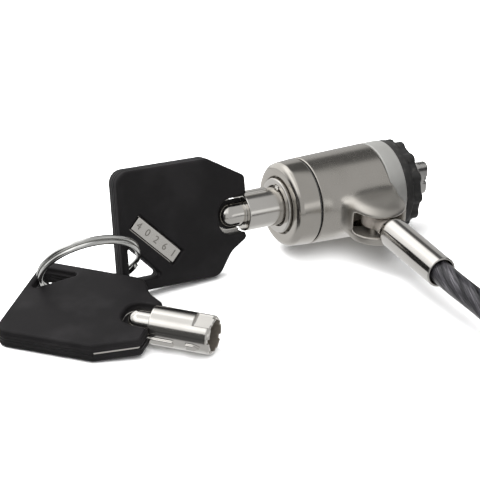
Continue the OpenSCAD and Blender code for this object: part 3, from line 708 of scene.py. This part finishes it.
def sleeve_shape(x, y, z):
    off = np.hypot(y, z)
    px, py = x - X_PIVOT, y + PIVOT_OUT
    out = np.hypot(px, py)
    ahead = np.maximum((py - px - 4.6) * 0.7, (py + px - 3.4) * 0.7)
    pocket = melt(out - POCKET_R, ahead, 1.2)
    gap = common(np.abs(z) - EAR_GAP / 2, common(pocket, y + GAP_END, 0.9), 0.9)
    dish = np.sqrt(out ** 2 + (z - DISH_UP) ** 2) - DISH_R
    dish = common(common(dish, z + 1.5, 0.2), out - DISH_RIM, 0.3)
    return without(sleeve_solid(x, y, z), (gap, 0.6), (dish, 0.2), (off - BODY_R - 0.07, 0.12))


points, faces = carve(sleeve_shape, (X_SLEEVE_END, -18.4, -9.1), (X_SLEEVE + 1.4, 9.1, 9.1), 0.2)
# Painted shade: inside the clevis pocket and the dish the colour is painted darker and duller, at about half
# strength low down in the lower ear's dish; the pocket is also rougher, as cast.
depth = -sleeve_solid(*points.T) * (points[:, 1] < -9.2)
settle("sleeve_casting", points, faces, LOCK, cast_nickel, "swivel", "nickel", ("swivel_sleeve",),
       bore=np.clip(depth / 0.5, 0, 1) * np.where(points[:, 2] < -1.6, 0.5, 0.9),
       cast=np.clip((-8.8 - points[:, 1]) / 1.5, 0, 1))

# %% [markdown]
# ## The ferrule
# The cable is swaged into a polished ferrule. Its flat tongue ends in a round eye on the
# clevis pin. The mouth is bored a little wider than the cable, so a dark gap shows there.

# %% Ferrule
EYE_R, PIN_HOLE_R, TONGUE_T, FERRULE_R, FERRULE_BORE, BARREL_START = 2.75, 1.18, 3.2, 3.05, 2.6, 5.9


def ferrule_shape(x, y, z):
    along, off = -y, np.hypot(x, z)
    barrel = drum(along - (BARREL_START + FERRULE_L) / 2, off, (FERRULE_L - BARREL_START) / 2, FERRULE_R, 0.16)
    barrel = common(barrel, ((off - 2.45) - (along - BARREL_START) * 0.55) * 0.876, 0.25)
    eye = common(np.sqrt(x ** 2 + y ** 2 + z ** 2 / 2) - EYE_R, np.abs(z) - TONGUE_T / 2, 0.5)
    neck_r = 1.65 + 0.75 * np.clip((along - 1) / 5, 0, 1)
    neck = common(common(np.hypot(x, z * 1.12) - neck_r, np.abs(along - 3.6) - 3.3, 0.4), np.abs(z) - 1.9, 0.3)
    solid = melt(melt(eye, neck, 0.8), barrel, 0.7)
    mouth = drum(along - FERRULE_L, off, MOUTH_DEPTH, FERRULE_BORE, 0.05)
    return without(solid, (mouth, 0.14), (np.hypot(x, y) - PIN_HOLE_R, 0.12))


points, faces = carve(ferrule_shape, (-3.1, -24.5, -3.1), (3.1, 2.8, 3.1), 0.17)
# Painted shade: the tongue and eye, which sit inside the clevis pocket, take the darker, duller bore colour.
settle("ferrule", points, faces, FERRULE, polished, "cable", "nickel", ("cable_ferrule",),
       bore=np.clip((points[:, 1] + BARREL_START) / 0.6, 0, 1))

# %% [markdown]
# ## Turned rings at both ends
# The nose cap is rolled over at its front edge; the grey band behind the bumper is a
# plain ring with its edges just broken.

# %% Nose cap and band
SPIGOT_R, CAP_LIP_R = 7.13, 5.75
spigot_end = X_NOSE + 0.85
profile = [(X_CAP, SPIGOT_R), (X_CAP, NOSE_R), (X_NOSE, NOSE_R - 0.35), (X_NOSE, CAP_LIP_R),
           (spigot_end, CAP_LIP_R), (spigot_end, SPIGOT_R)]
points, faces = lathe(rounded(profile, [0.05, 0.18, 1.45, 0.22, 0, 0], 7.5))
settle("nose_shell", points, faces, LOCK, cap_nickel, "lock", "nickel", ("nose_cap",))
low, high = (X_SLEEVE + 0.08, BODY_R + 0.03), (X_BAND, BAND_R)
profile = [low, (high[0], low[1]), high, (low[0], high[1])]
points, faces = lathe(rounded(profile, [0, 0, 0.14, 0.22], 15))
settle("grey_ring", points, faces, LOCK, band_grey, "lock", "grey_band", ("front_band",))

# %% [markdown]
# ## The rubber bumper
# The bumper keeps the lock from scratching the computer. Behind a smooth flange it has
# twelve round lobes to grip by. One lobe is drawn, and the angle is folded so that it
# comes back twelve times.

# %% Bumper
LOBES, LOBE_R, VALLEY_R, BUMPER_BORE = 12, 1.3, 8.1, 5.56


def bumper_shape(x, y, z):
    off, angle = np.hypot(y, z), np.arctan2(y, z)
    fold = np.mod(angle + np.pi / LOBES, 2 * np.pi / LOBES) - np.pi / LOBES
    lobe = np.hypot(off * np.cos(fold) - (BAND_R - 0.25 - LOBE_R), off * np.sin(fold)) - LOBE_R
    star = melt(lobe, off - VALLEY_R, 0.35)
    grip = common(star, np.abs(x + 1.6) - 1.6, 0.55)
    flange = drum(x + 3.1, off, 0.9, BAND_R - 0.12, 0.4)
    return without(melt(grip, flange, 0.25), (off - BUMPER_BORE, 0.3))


points, faces = carve(bumper_shape, (-4.02, -9.0, -9.0), (0.02, 9.0, 9.0), 0.19)
settle("rubber_bumper", points, faces, LOCK, rubber, "lock", "rubber_bumper", ("bumper_ring",))

# %% [markdown]
# ## The plug
# The plug turns with the key. Its face shows the ring-shaped keyway, whose mouth is
# a step wider so that the key finds its way in, and the slot for the key's lug.

# %% Plug
PLUG_R, PLUG_L, PIN_BORE_R, PIN_CIRCLE, PINS = 5.45, 10.0, 0.52, 3.35, 7
BARREL_L, LUG_W, LUG_DEGREES, LUG_REACH = 12.6, 1.3, 78, 4.25
KEYWAY_R, POST_R, X_KEY_TIP, X_SHEAR = 3.85, 2.85, X_SHOULDER + BARREL_L, X_PLUG + PLUG_L
LUG_SLOT_TURN = radians(KEY_ROLL - 90 + LUG_DEGREES)


def plug_shape(x, y, z):
    off = np.hypot(y, z)
    keyway = np.maximum(off - KEYWAY_R, POST_R - off)
    mouth = np.maximum(np.maximum(off - KEYWAY_R - 0.25, POST_R - off), x - X_PLUG - 0.9)
    radial = z * cos(LUG_SLOT_TURN) - y * sin(LUG_SLOT_TURN)
    across = np.abs(y * cos(LUG_SLOT_TURN) + z * sin(LUG_SLOT_TURN))
    slot = np.maximum(across - LUG_W / 2 - 0.15, radial - LUG_REACH - 0.2)
    slot = np.maximum(slot, POST_R + 0.3 - radial)
    depth = x - X_KEY_TIP - 0.05
    tools = [(common(keyway, depth, 0.05), 0.08), (mouth, 0.05), (common(slot, depth, 0.05), 0.06)]
    for i in range(PINS):
        angle = radians(90 + 360 * (i + 0.5) / PINS)
        bore = np.hypot(y - PIN_CIRCLE * cos(angle), z - PIN_CIRCLE * sin(angle)) - PIN_BORE_R
        tools.append((common(bore, X_KEY_TIP - 1 - x, 0.02), 0.02))
    return without(drum(x - (X_PLUG + X_SHEAR) / 2, off, PLUG_L / 2, PLUG_R, 0.3), *tools)


points, faces = carve(plug_shape, (X_PLUG, -PLUG_R, -PLUG_R), (X_SHEAR, PLUG_R, PLUG_R), 0.15)
# Painted shade: inside the keyway, the lug slot and the pin bores the colour is painted darker and duller.
cut = (points[:, 0] > X_PLUG + 0.12) & (np.hypot(points[:, 1], points[:, 2]) < PLUG_R - 0.3)
settle("turning_plug", points, faces, LOCK, polished, "plug_set", "nickel", ("plug",), bore=cut)

# %% [markdown]
# ## The T-bar
# The hardened bar that goes through the computer's security slot. Its ends are rounded
# like a mushroom, and a shallow groove crosses the end of its spindle.

# %% T-bar
GRIP, BAR_L, BAR_W, BAR_T, SPINDLE_R, GROOVE_W, GROOVE_DEPTH = 2.9, 6.9, 2.8, 2.8, 0.83, 1.1, 0.9


def bar_shape(x, y, z):
    side = np.hypot(np.maximum(np.abs(z) - (BAR_L - BAR_W) / 2, 0), y) - BAR_W / 2
    solid = drum(x - GRIP - BAR_T / 2, side + 4, BAR_T / 2, 4, 0.5)
    groove = common(np.abs(z) - GROOVE_W / 2, GRIP + BAR_T - GROOVE_DEPTH - x, 0.2)
    return without(solid, (groove, 0.3), (np.hypot(y, z) - SPINDLE_R, 0.05))


points, faces = carve(bar_shape, (2.8, -1.5, -3.5), (5.8, 1.5, 3.5), 0.1)
settle("locking_bar", points, faces, LOCK, hard_steel, "plug_set", "hard_steel", ("t_bar",))

# %% [markdown]
# ## The key barrels
# A tubular key is a thin tube with a lug that indexes it in the keyway, a notch at the
# tip, and one shallow cut for each pin. Both keys are the same, so the barrel is carved
# once and laid in two places.

# %% Key barrel
BARREL_R, BARREL_WALL, HEAD_GAP, SHANK_R = 3.75, 0.8, 0.3, 2.4
LUG_ANGLE, NOTCH_W, NOTCH_L, NOTCH_ANGLE = radians(LUG_DEGREES), 3.5, 3.6, radians(173)
CUTS = (0.35, 0.15, 0.4, 0.2, 0.45, 0.15, 0.35)


def around(v, w, angle):
    """How far out and how far across, seen from a direction round the barrel."""
    return v * sin(angle) + w * cos(angle), -v * cos(angle) + w * sin(angle)


def barrel_shape(u, v, w):
    off = np.hypot(v, w)
    tube_end = (HEAD_GAP + BARREL_L) / 2
    solid = drum(u - tube_end, off, (BARREL_L - HEAD_GAP) / 2, BARREL_R, 0.22)
    solid = common(solid, ((off - BARREL_R + 0.35) + (u - BARREL_L + 0.1) * 0.8) * 0.78, 0.1)
    shank = np.hypot(np.maximum(np.abs(u + 0.4) - 2.15, 0), off) - SHANK_R
    solid = melt(solid, shank, 0.12)
    radial, across = around(v, w, LUG_ANGLE)
    long_lug = block(u - 3.05, across, radial - 3.5, (2.55, LUG_W / 2, 0.75), 0.15)
    short_lug = block(u - 9.45, across, radial - 3.5, (1.35, LUG_W / 2, 0.75), 0.15)
    short_lug = common(short_lug, (np.abs(across) + 0.5 * (u - 10.8) - 0.1) * 0.894, 0.1)
    solid = melt(melt(solid, long_lug, 0.15), short_lug, 0.15)
    radial, across = around(v, w, NOTCH_ANGLE)
    notch = block(u - BARREL_L, across, radial - 4.75, (NOTCH_L, NOTCH_W / 2, 1.6), 0.1)
    tools = [(common(off - BARREL_R + BARREL_WALL, 3.2 - u, 0.1), 0.1), (notch, 0.1)]
    for i, depth in enumerate(CUTS):
        turned = radians(360 * (i + 0.5) / PINS + KEY_ROLL - 90)
        cut = np.hypot(v + PIN_CIRCLE * sin(turned), w - PIN_CIRCLE * cos(turned)) - PIN_BORE_R
        tools.append((common(cut, BARREL_L - depth - u, 0.05), 0.06))
    return without(solid, *tools)


points, faces = carve(barrel_shape, (-4.95, -3.9, -4.3), (12.7, 4.3, 3.9), 0.13)
# Painted shade: inside the tube the colour is painted dark and dull.
bore_shade_mask = (np.hypot(points[:, 1], points[:, 2]) < BARREL_R - BARREL_WALL + 0.1) & (points[:, 0] > 2.5)
KEYS = (("key_1", KEY_1), ("key_2", KEY_2))
for key, place in KEYS:
    settle(f"{key}_tube", points, faces, place, key_tube_nickel, key, "key_nickel", (f"{key}_barrel",),
           bore=bore_shade_mask)

# %% [markdown]
# ## The key heads
# Each head is a nickel plate between two moulded covers. The covers close round its edge
# everywhere except along the slanted side and the recess of the barrel, where the bright
# plate shows as a line. A window in the front cover leaves room for the key's number.

# %% Outlines of a head
HEAD_T, PLATE_T = 3.8, 1.2
COVER = anticlockwise(rounded(
    [(-27.2, 12.6), (-7.2, 12.2), (0.75, 7.6), (0.75, 4.0), (-0.2, 3.5), (-5.7, 3.5), (-5.7, -3.6), (0, -3.6),
     (0.4, -4.7), (-3.3, -7.0), (-6.2, -11.35), (-27.2, -11.35)],
    [2.6, 1.0, 1.2, 0.25, 0.3, 2.9, 2.9, 0.25, 0.9, 4.2, 2.8, 2.2], 9,
))
RING_HOLE = anticlockwise(rounded([(-25.8, -1.8), (-18.4, -9.2), (-25.8, -9.2)], [0.5, 0.6, 0.8], 15))
WINDOW_AT, WINDOW_TURN = np.array((-19.55, -1.8)), radians(-44)


def box_line(length, width, corners, step):
    a, b = length / 2, width / 2
    return rounded([(-a, -b), (a, -b), (a, b), (-a, b)], corners, step)


def tilted_box(length, width, corner):
    """A line round the window, which lies aslant in the head."""
    box = box_line(length, width, [corner] * 4, 30)
    c, s = cos(WINDOW_TURN), sin(WINDOW_TURN)
    return box @ np.array([[c, s], [-s, c]]) + WINDOW_AT


PLATE = rounded(
    [(-26.4, 11.6), (-11.5, 11.4), (-8.8, 11.9), (-7.0, 11.9), (0.4, 7.6), (0.4, 4.5), (-2.2, 4.3), (-2.6, 3.0),
     (-5.62, 3.0), (-5.62, -2.65), (-0.9, -2.65), (-0.7, -5.0), (-3.9, -6.9), (-6.9, -10.5), (-26.4, -10.5)],
    [1.8, 0.5, 0.3, 0.5, 0.6, 0.2, 0.3, 0.2, 2.7, 2.5, 0.3, 0.8, 2.4, 1.6, 1.6], 9,
)
print("outline", len(COVER), "points, plate", len(PLATE), "points")

# %% Covers, plates and number plates
def joined(*parts):
    points, faces = [], []
    for more_points, more_faces in parts:
        faces += [tuple(i + len(points) for i in f) for f in more_faces]
        points += [tuple(p) for p in more_points]
    return points, faces


def flipped(points, faces):
    """The same part on the other side of the plate."""
    return [(x, y, -z) for x, y, z in points], [tuple(f)[::-1] for f in faces]


def edge_strip(width, chosen, levels):
    """A strip inside the cover's outline, along the points that are chosen by their place."""
    inner, count = offset(COVER, width), len(COVER)
    keep = [i for i, (u, v) in enumerate(COVER) if chosen(u, v)]
    start = next(i for i in keep if (i - 1) % count not in keep)
    order = [(start + k) % count for k in range(len(keep))]
    return slab(np.vstack([COVER[order], inner[order][::-1]]), [], levels)


def beside_slant(u, v):
    return not (u > -7.1 and v > 2) and not (u > -6.0 and abs(v) < 3.7)


def on_slant(u, v):
    return u > -7.4 and v > 3.9


def flat_caps(piece):
    """Flat faces stay flat; only the rounded edges and the small faces are shaded smooth."""
    faces = piece.data.polygons
    faces.foreach_set("use_smooth", [p.area < SMALL_FACE * MM * MM or len(p.vertices) == 4 for p in faces])


# The rim follows the outline round the plate. Along the slanted side a lower lip leaves
# a narrow slot for the plate's edge.
SMALL_FACE, half_plate = 0.35, PLATE_T / 2
rim = edge_strip(0.75, beside_slant, [(0, 0), (0, half_plate)])
slant = edge_strip(0.6, on_slant, [(0.05, 0.26), (0, 0.31), (0, half_plate)])
lip = joined(rim, slant, slab(offset(RING_HOLE, -0.5), [RING_HOLE], [(0, 0), (0, half_plate)]))
cover_wall = soft_edge(half_plate, HEAD_T / 2, 0, 0.5)
front = slab(COVER, [RING_HOLE, tilted_box(12.3, 3.4, 0.25)], cover_wall)
back = slab(COVER, [RING_HOLE], cover_wall)
plate_wall = soft_edge(-half_plate + 0.01, half_plate - 0.01, 0.12, 0.12, 2)
plate = slab(PLATE, [offset(RING_HOLE, -0.55)], plate_wall)
tag = slab(tilted_box(11.7, 2.85, 0.15), [], soft_edge(half_plate - 0.05, half_plate + 0.95, 0, 0.1, 2))
web = rounded([(0.2, -2.6), (0.2, 2.95), (-5.6, 2.95), (-5.6, -2.6)], [0.2, 0.2, 2.6, 2.4], 15)
web = slab(web, [], soft_edge(-0.3, 0.3, 0, 0.05, 2))
head = (
    ("cover_front", "front", joined(front, lip, web), cover_plastic, "key_cover"),
    ("cover_back", "back", joined(flipped(*back), flipped(*lip)), cover_plastic, "key_cover"),
    ("blank", "plate", joined(plate, tag), key_nickel, "key_nickel"),
)
for key, place in KEYS:
    for name, solid, form, material, slot in head:
        flat_caps(settle(f"{key}_{name}", *form, place, material, key, slot, (f"{key}_{solid}",)))

# %% [markdown]
# ## The split ring
# Two turns of round spring wire, with the step from one turn to the other. The wire's
# two cut ends lie opposite each other.

# %% Split ring
RING_R, RING_WIRE, RING_PITCH = 9.75, 0.48, 1.02
path = []
for step in np.arange(0, 47.01, 0.25):
    rise = min(1, max(0, (step - 21) / 6))
    rise = rise * rise * (3 - 2 * rise)
    path.append(on_circle((0, 0), RING_R, radians(15 * step), RING_PITCH * (rise - 0.5)))
points, faces, uvs = tube(path, RING_WIRE, 14)
settle("key_ring_wire", points, faces, RING, ring_steel, "ring", "ring_steel", ("split_ring",))

# %% [markdown]
# ## Crimp sleeve
# The loop at the cable's end is closed by an aluminium sleeve, pressed flat on both
# sides in three bites.

# %% Crimp sleeve
SHELL_R = CABLE_R + CRIMP_WALL


def crimp_shape(x, y, z):
    side = np.hypot(np.maximum(np.abs(x) - CRIMP_SHIFT / 2, 0), z) - SHELL_R
    tools = []
    for centre in (-4.0, 0.0, 4.0):
        bite = np.minimum(*(np.hypot(np.abs(y - centre), z - s * (SHELL_R + 1.15)) - 1.6 for s in (-1, 1)))
        tools.append((bite, 0.35))
    for s in (-1, 1):
        bore = np.hypot(x - s * CRIMP_SHIFT / 2, z) - CABLE_R - 0.02
        tools.append((common(bore, 5.9 - np.abs(y), 0.02), 0.1))
    return without(drum(y, side + 5, CRIMP_L / 2, 5, 0.5), *tools)


CRIMP = shift(crimp_x, loop_y - CRIMP_L / 2, LIE_Z)
points, faces = carve(crimp_shape, (-5.8, -6.6, -3.3), (5.8, 6.6, 3.3), 0.22)
crimp = settle("pressed_crimp", points, faces, CRIMP, crimp_metal, "cable", "crimp_metal", ("crimp_sleeve",))

# %% [markdown]
# ## Straps round the coil
# Two straps of hook-and-loop tape hold the stored cable. Each is a flat band swept round
# the bundle; its free end is lapped over and sewn.

# %% Straps
STRAP_T, STRAP_W = 0.5, 9.0
inner_w = SWING + CABLE_D + 2 * TURN_STEP - 2 * CABLE_D
inner_h = 3 * LAYER_STEP + CABLE_D + 0.4
strap_z = COIL_Z - CABLE_R - 0.2 + inner_h / 2


def on_coil(side, up):
    """A place in the middle of the bundle, so many degrees round the coil."""
    return shift(*COIL_AT, strap_z) @ turn(0, 0, side) @ shift(0, COIL_R, up)


SIDES = ((0, "far", ("coil_straps",)), (90, "left", ()))
strap_loop = box_line(inner_w + 2 * STRAP_T, inner_h + 2 * STRAP_T, [2.2 + STRAP_T] * 4, 9)
strap_wall = soft_edge(-STRAP_W / 2, STRAP_W / 2, STRAP_T * 0.45, STRAP_T * 0.45, 3)
points, faces = slab(strap_loop, [offset(strap_loop, STRAP_T)], strap_wall[1:-1])
points = [(z, x, y) for x, y, z in points]
straps = [settle(f"strap_{name}", points, faces, on_coil(side, 0), strap_tape, "cable", "strap_fabric", stands_for)
          for side, name, stands_for in SIDES]

# %% [markdown]
# ## Parts that repeat
# Seven springs push seven driver pins against the key, and a tailor's stitch runs round
# the end of each strap. Geometry Nodes is the tool for this: one piece goes in, a ring of
# points or a path says where, and the tree sets a copy on each point. The copies are
# made real at the end, because a finished model can't hold instances.

# %% A pattern of copies
class Pattern(Mixer):
    """A Geometry Nodes tree with named sizes. Its geometry input is the piece to repeat."""

    family = "GeometryNode"

    def __init__(self, name, **sizes):
        super().__init__(bpy.data.node_groups.new(name, "GeometryNodeTree"))
        self.sizes = sizes
        for way in ("INPUT", "OUTPUT"):
            self.tree.interface.new_socket("Geometry", in_out=way, socket_type="NodeSocketGeometry")
        for size, value in sizes.items():
            kind = "NodeSocketInt" if isinstance(value, int) else "NodeSocketFloat"
            self.tree.interface.new_socket(size, in_out="INPUT", socket_type=kind)
        self.entry = {way.name: Knob(self, way) for way in self.tree.nodes.new("NodeGroupInput").outputs}
        self.exit = self.tree.nodes.new("NodeGroupOutput").inputs

    def grow(self, points, instance, material, start, **more):
        """The mesh of all the copies of the instance."""
        copies = self.make("InstanceOnPoints", Points=points, Instance=instance, **more)
        real = self.make("RealizeInstances", Geometry=copies)
        painted = self.make("SetMaterial", Geometry=real, Material=material)
        self.tree.links.new(painted.socket, self.exit[0])
        host = show("pattern_host", start)
        modifier = host.modifiers.new("pattern", "NODES")
        modifier.node_group = self.tree
        for item in self.tree.interface.items_tree:
            if item.in_out == "INPUT" and item.name in self.sizes:
                modifier[item.identifier] = self.sizes[item.name]
        return made_real(host)


def made_real(host):
    """The mesh that an object's modifiers or its text make. The object itself goes."""
    mesh = bpy.data.meshes.new_from_object(host.evaluated_get(bpy.context.evaluated_depsgraph_get()))
    bpy.data.objects.remove(host)
    return mesh


def round_the_axis(name, **more):
    """A pattern whose points stand on a ring round the lock's axis, one for each pin."""
    pattern = Pattern(name, Copies=PINS, Circle=PIN_CIRCLE, **more)
    sizes = pattern.entry
    ring = pattern.make("MeshCircle", Vertices=sizes["Copies"], Radius=sizes["Circle"])
    return pattern, sizes, pattern.make("Transform", Geometry=ring, Rotation=(0, 0, radians(90 + 180 / PINS)))


def placed(mesh, at):
    """A mesh in millimetres, carried to the table and turned into metres."""
    mesh.transform(Matrix.Scale(MM, 4) @ at)
    mesh.polygons.foreach_set("use_smooth", [True] * len(mesh.polygons))
    return mesh


# The patterns stand upright; this turns their Z into the lock's X.
UPRIGHT = LOCK @ Matrix(((0, 0, 1, 0), (1, 0, 0, 0), (0, 1, 0, 0), (0, 0, 0, 1)))

# %% Springs and driver pins
X_BLOCK_END, DRIVER_L, PIN_R, SPRING_WIRE = X_PLUG + 15, 1.9, 0.45, 0.11
spring_from = X_SHEAR + DRIVER_L + SPRING_WIRE + 0.02
pattern, sizes, ring = round_the_axis(
    "tumbler_springs", Wire=SPRING_WIRE, Radius=PIN_R - SPRING_WIRE, Turns=4.0,
    Height=X_BLOCK_END - SPRING_WIRE - spring_from,
)
helix = pattern.make("CurveSpiral", Resolution=16, Rotations=sizes["Turns"], Start_Radius=sizes["Radius"],
                     End_Radius=sizes["Radius"], Height=sizes["Height"])
wire = pattern.make("CurvePrimitiveCircle", Resolution=6, Radius=sizes["Wire"])
spring = pattern.make("CurveToMesh", Curve=helix, Profile_Curve=wire, Fill_Caps=True)
mesh = pattern.grow(ring, spring, hard_steel, bpy.data.meshes.new("nothing"))
mesh = placed(mesh, UPRIGHT @ shift(0, 0, spring_from))
adopt("tumbler_springs", mesh, hard_steel, "lock", ("driver_springs",))

pin_l = DRIVER_L - 0.08
points, faces = lathe(rounded([(0, 0.02), (pin_l, 0.02), (pin_l, PIN_R), (0, PIN_R)], [0, 0, 0.12, 0.2], 22.5), 20)
one_pin = bpy.data.meshes.new("one_pin")
one_pin.from_pydata([(z, x, y) for x, y, z in np.array(points).tolist()], [], faces)
pattern, sizes, ring = round_the_axis("driver_pins")
mesh = placed(pattern.grow(ring, sizes["Geometry"], brass, one_pin), UPRIGHT @ shift(0, 0, X_SHEAR + 0.08))
adopt("drivers", mesh, brass, "lock", ("driver_pins",))

# %% Lapped ends of the straps, with their stitches
TAB_L, TAB_W, TAB_T = 13.0, 8.4, 0.5
SEAM_IN, SEAM_FAR, SEAM_W = 0.8 - TAB_L / 2, 5.5 - TAB_L / 2, TAB_W / 2 - 0.8
points, faces = slab(box_line(TAB_L, TAB_W, [0.4, 1.6, 1.6, 0.4], 15), [], soft_edge(0, TAB_T, 0.05, 0.2, 3))
seam = rounded([(SEAM_IN, -SEAM_W), (SEAM_FAR, -SEAM_W), (SEAM_FAR, SEAM_W), (SEAM_IN, SEAM_W)], [0.3] * 4, 30)
for side, name, _ in SIDES:
    top = on_coil(side, inner_h / 2 + STRAP_T - 0.05) @ turn(0, 0, 90)
    straps.append(settle(f"strap_end_{name}", points, faces, top, strap_tape, "cable", "strap_fabric"))
    pattern = Pattern(f"stitches_{name}", Stitches=26, Length=0.95, Thread=0.16)
    sizes = pattern.entry
    path = pattern.make("MeshToCurve", Mesh=sizes["Geometry"])
    path = pattern.make("ResampleCurve", Curve=path, Count=sizes["Stitches"])
    tangent = pattern.make("InputTangent")
    heading_of = pattern.node("FunctionNodeAlignRotationToVector", {"axis": "X"}, {"Vector": tangent})
    scale = pattern.node("ShaderNodeCombineXYZ", {}, [sizes["Length"], sizes["Thread"], sizes["Thread"]])
    bead = pattern.make("MeshUVSphere", Segments=8, Rings=5, Radius=0.5)
    bead = pattern.make("Transform", Geometry=bead, Scale=scale)
    line = bpy.data.meshes.new("seam_line")
    line.from_pydata([(x, y, TAB_T) for x, y in seam], [(i, (i + 1) % len(seam)) for i in range(len(seam))], [])
    mesh = pattern.grow(path, bead, strap_tape, line, Rotation=heading_of)
    straps.append(adopt(f"stitches_{name}", placed(mesh, top), strap_tape, "cable"))

# %% [markdown]
# ## The key's number
# The plate shows through the window, and a number is stamped in it. The digits here are made up. A text curve
# gives their shape, turned into a mesh before it is placed. The digits stand a little proud of the plate, and
# their dark, matt nickel is painted shade for the depth of the stamping.

# %% Stamped digits
for key, place in KEYS:
    text = bpy.data.curves.new(f"{key}_number", "FONT")
    text.body, text.align_x, text.align_y = "4 0 2 6 1", "CENTER", "CENTER"
    text.size, text.extrude, text.space_character, text.resolution_u = 2.1, 0.04, 1.35, 3
    mesh = made_real(show(f"{key}_number", text))
    window = place @ shift(*WINDOW_AT, half_plate + 0.96) @ turn(0, 0, degrees(WINDOW_TURN))
    mesh.transform(Matrix.Scale(MM, 4) @ window)
    adopt(f"{key}_digits", mesh, stamped, key)

# %% [markdown]
# ## Floor and light
# Polished metal shows its surroundings and little else, so the room is drawn on purpose:
# a bright panel on the left with a dark edge, a bright box above the camera, a dark gap
# overhead between them, and a dim room behind the camera. The world's own direction
# vector says where each of them hangs. The shadows come from two soft lamps that the
# metal doesn't see.

# %% Room
world = bpy.data.worlds.new("room")
world.use_nodes = True
bpy.context.scene.world = world
room = Mixer(world.node_tree)
across, depth, up = room.parts_of(room.place("Generated"))
right = across * 0.8705 - depth * 0.4921
front = (across * 0.4921 + depth * 0.8705) * -1
left, behind = right * -1, front * -1


def patch(*edges):
    """1 inside a part of the room. Each edge is a direction with where it begins and is full."""
    masks = [way.between(a, b) if a < b else 1 - way.between(b, a) for way, a, b in edges]
    inside = masks[0]
    for mask in masks[1:]:
        inside = inside * mask
    return inside


backdrop = patch((right, -0.12, -0.24), (behind, 0.15, 0.35), (up, -0.18, -0.10))
left_panel = patch((left, 0.46, 0.50), (up, 0.38, 0.46), (up, 0.92, 0.82))
overhead_left = patch((right, 0.10, -0.15), (up, 0.50, 0.68))
front_strip = patch((right, 0.50, 0.65), (front, 0.15, 0.35), (up, 0.02, 0.10), (up, 0.32, 0.22))
gap = patch((behind, 0.30, 0.45), (right, -0.14, -0.04), (up, 0.36, 0.50), (up, 0.90, 0.82))
dark_left = patch((left, 0.40, 0.50), (front, 0.0, 0.25), (up, 0.44, 0.36), (up, -0.60, -0.48))
horizon = patch((up, -0.19, -0.16), (up, -0.10, -0.13))
table = patch((up, -0.10, -0.14), (behind, -0.1, 0.5))
glow = 0.42 + backdrop * 0.50 + left_panel * (1 - backdrop * 0.8) * 0.45 + overhead_left * 0.40
glow = (glow + front_strip * 0.35 + table * 0.22) * (1 - gap * 0.80) * (1 - dark_left * 0.85) * (1 - horizon * 0.6)
background = world.node_tree.nodes["Background"]
world.node_tree.links.new(glow.socket, background.inputs["Color"])
background.inputs["Strength"].default_value = 1.3


# %% Lamps
def soft_box(name, place, size, power):
    data = bpy.data.lights.new(name, "AREA")
    data.shape = "RECTANGLE"
    data.size, data.size_y = size
    data.energy = power
    lamp = show(name, data)
    lamp.matrix_world = aimed(Vector(place), -Vector(place))
    lamp.visible_glossy = False


soft_box("back_light", (-0.18, 0.40, 0.62), (0.55, 0.45), 11.0)
soft_box("fill_light", (-0.25, -0.35, 0.70), (0.90, 0.90), 10.0)
bpy.context.scene.view_settings.view_transform = "Standard"

# %% Floor
FLOOR_HALF = 2.5
corners = [(x * FLOOR_HALF, y * FLOOR_HALF, FLOOR_Z * MM) for x, y in ((-1, -1), (1, -1), (1, 1), (-1, 1))]
floor_mesh = bpy.data.meshes.new("floor")
floor_mesh.from_pydata(corners, [], [(0, 1, 2, 3)])
floor = show("floor", floor_mesh)
mix = Recipe("table", Roughness=0.7, Specular_IOR_Level=0.2)
paper = mix.set(Base_Color=mix.blend(mix.noise(30), (0.90,) * 3, (0.93,) * 3))
floor_mesh.materials.append(paper)
floor.visible_glossy = False
print("room, lamps and floor made")

# %% [markdown]
# ## The cable's length and the solids' finishes
# The cable's length is worked out and printed. The solids get the finishes too, so that a piece which is seen
# without its visual mesh looks the same.

# %% Cord
route_length * MM
print("cord", round(route_length), "mm, with", len(straps) + 1, "pieces on it")

# %% Finishes of the solids
finish_of = {
    "nickel": nickel, "grey_band": band_grey, "dark_washer": washer_nylon, "rubber_bumper": rubber,
    "hard_steel": hard_steel, "brass_pins": brass, "key_nickel": key_nickel, "key_cover": cover_plastic,
    "ring_steel": ring_steel, "cable_jacket": cable_vinyl, "strap_fabric": strap_tape, "crimp_metal": crimp_metal,
}
for row in frame["record"]["subparts"]:
    mesh = frame["nodes"][row["node"]].data
    mesh.materials.clear()
    mesh.materials.append(finish_of[row["material_slot"]])
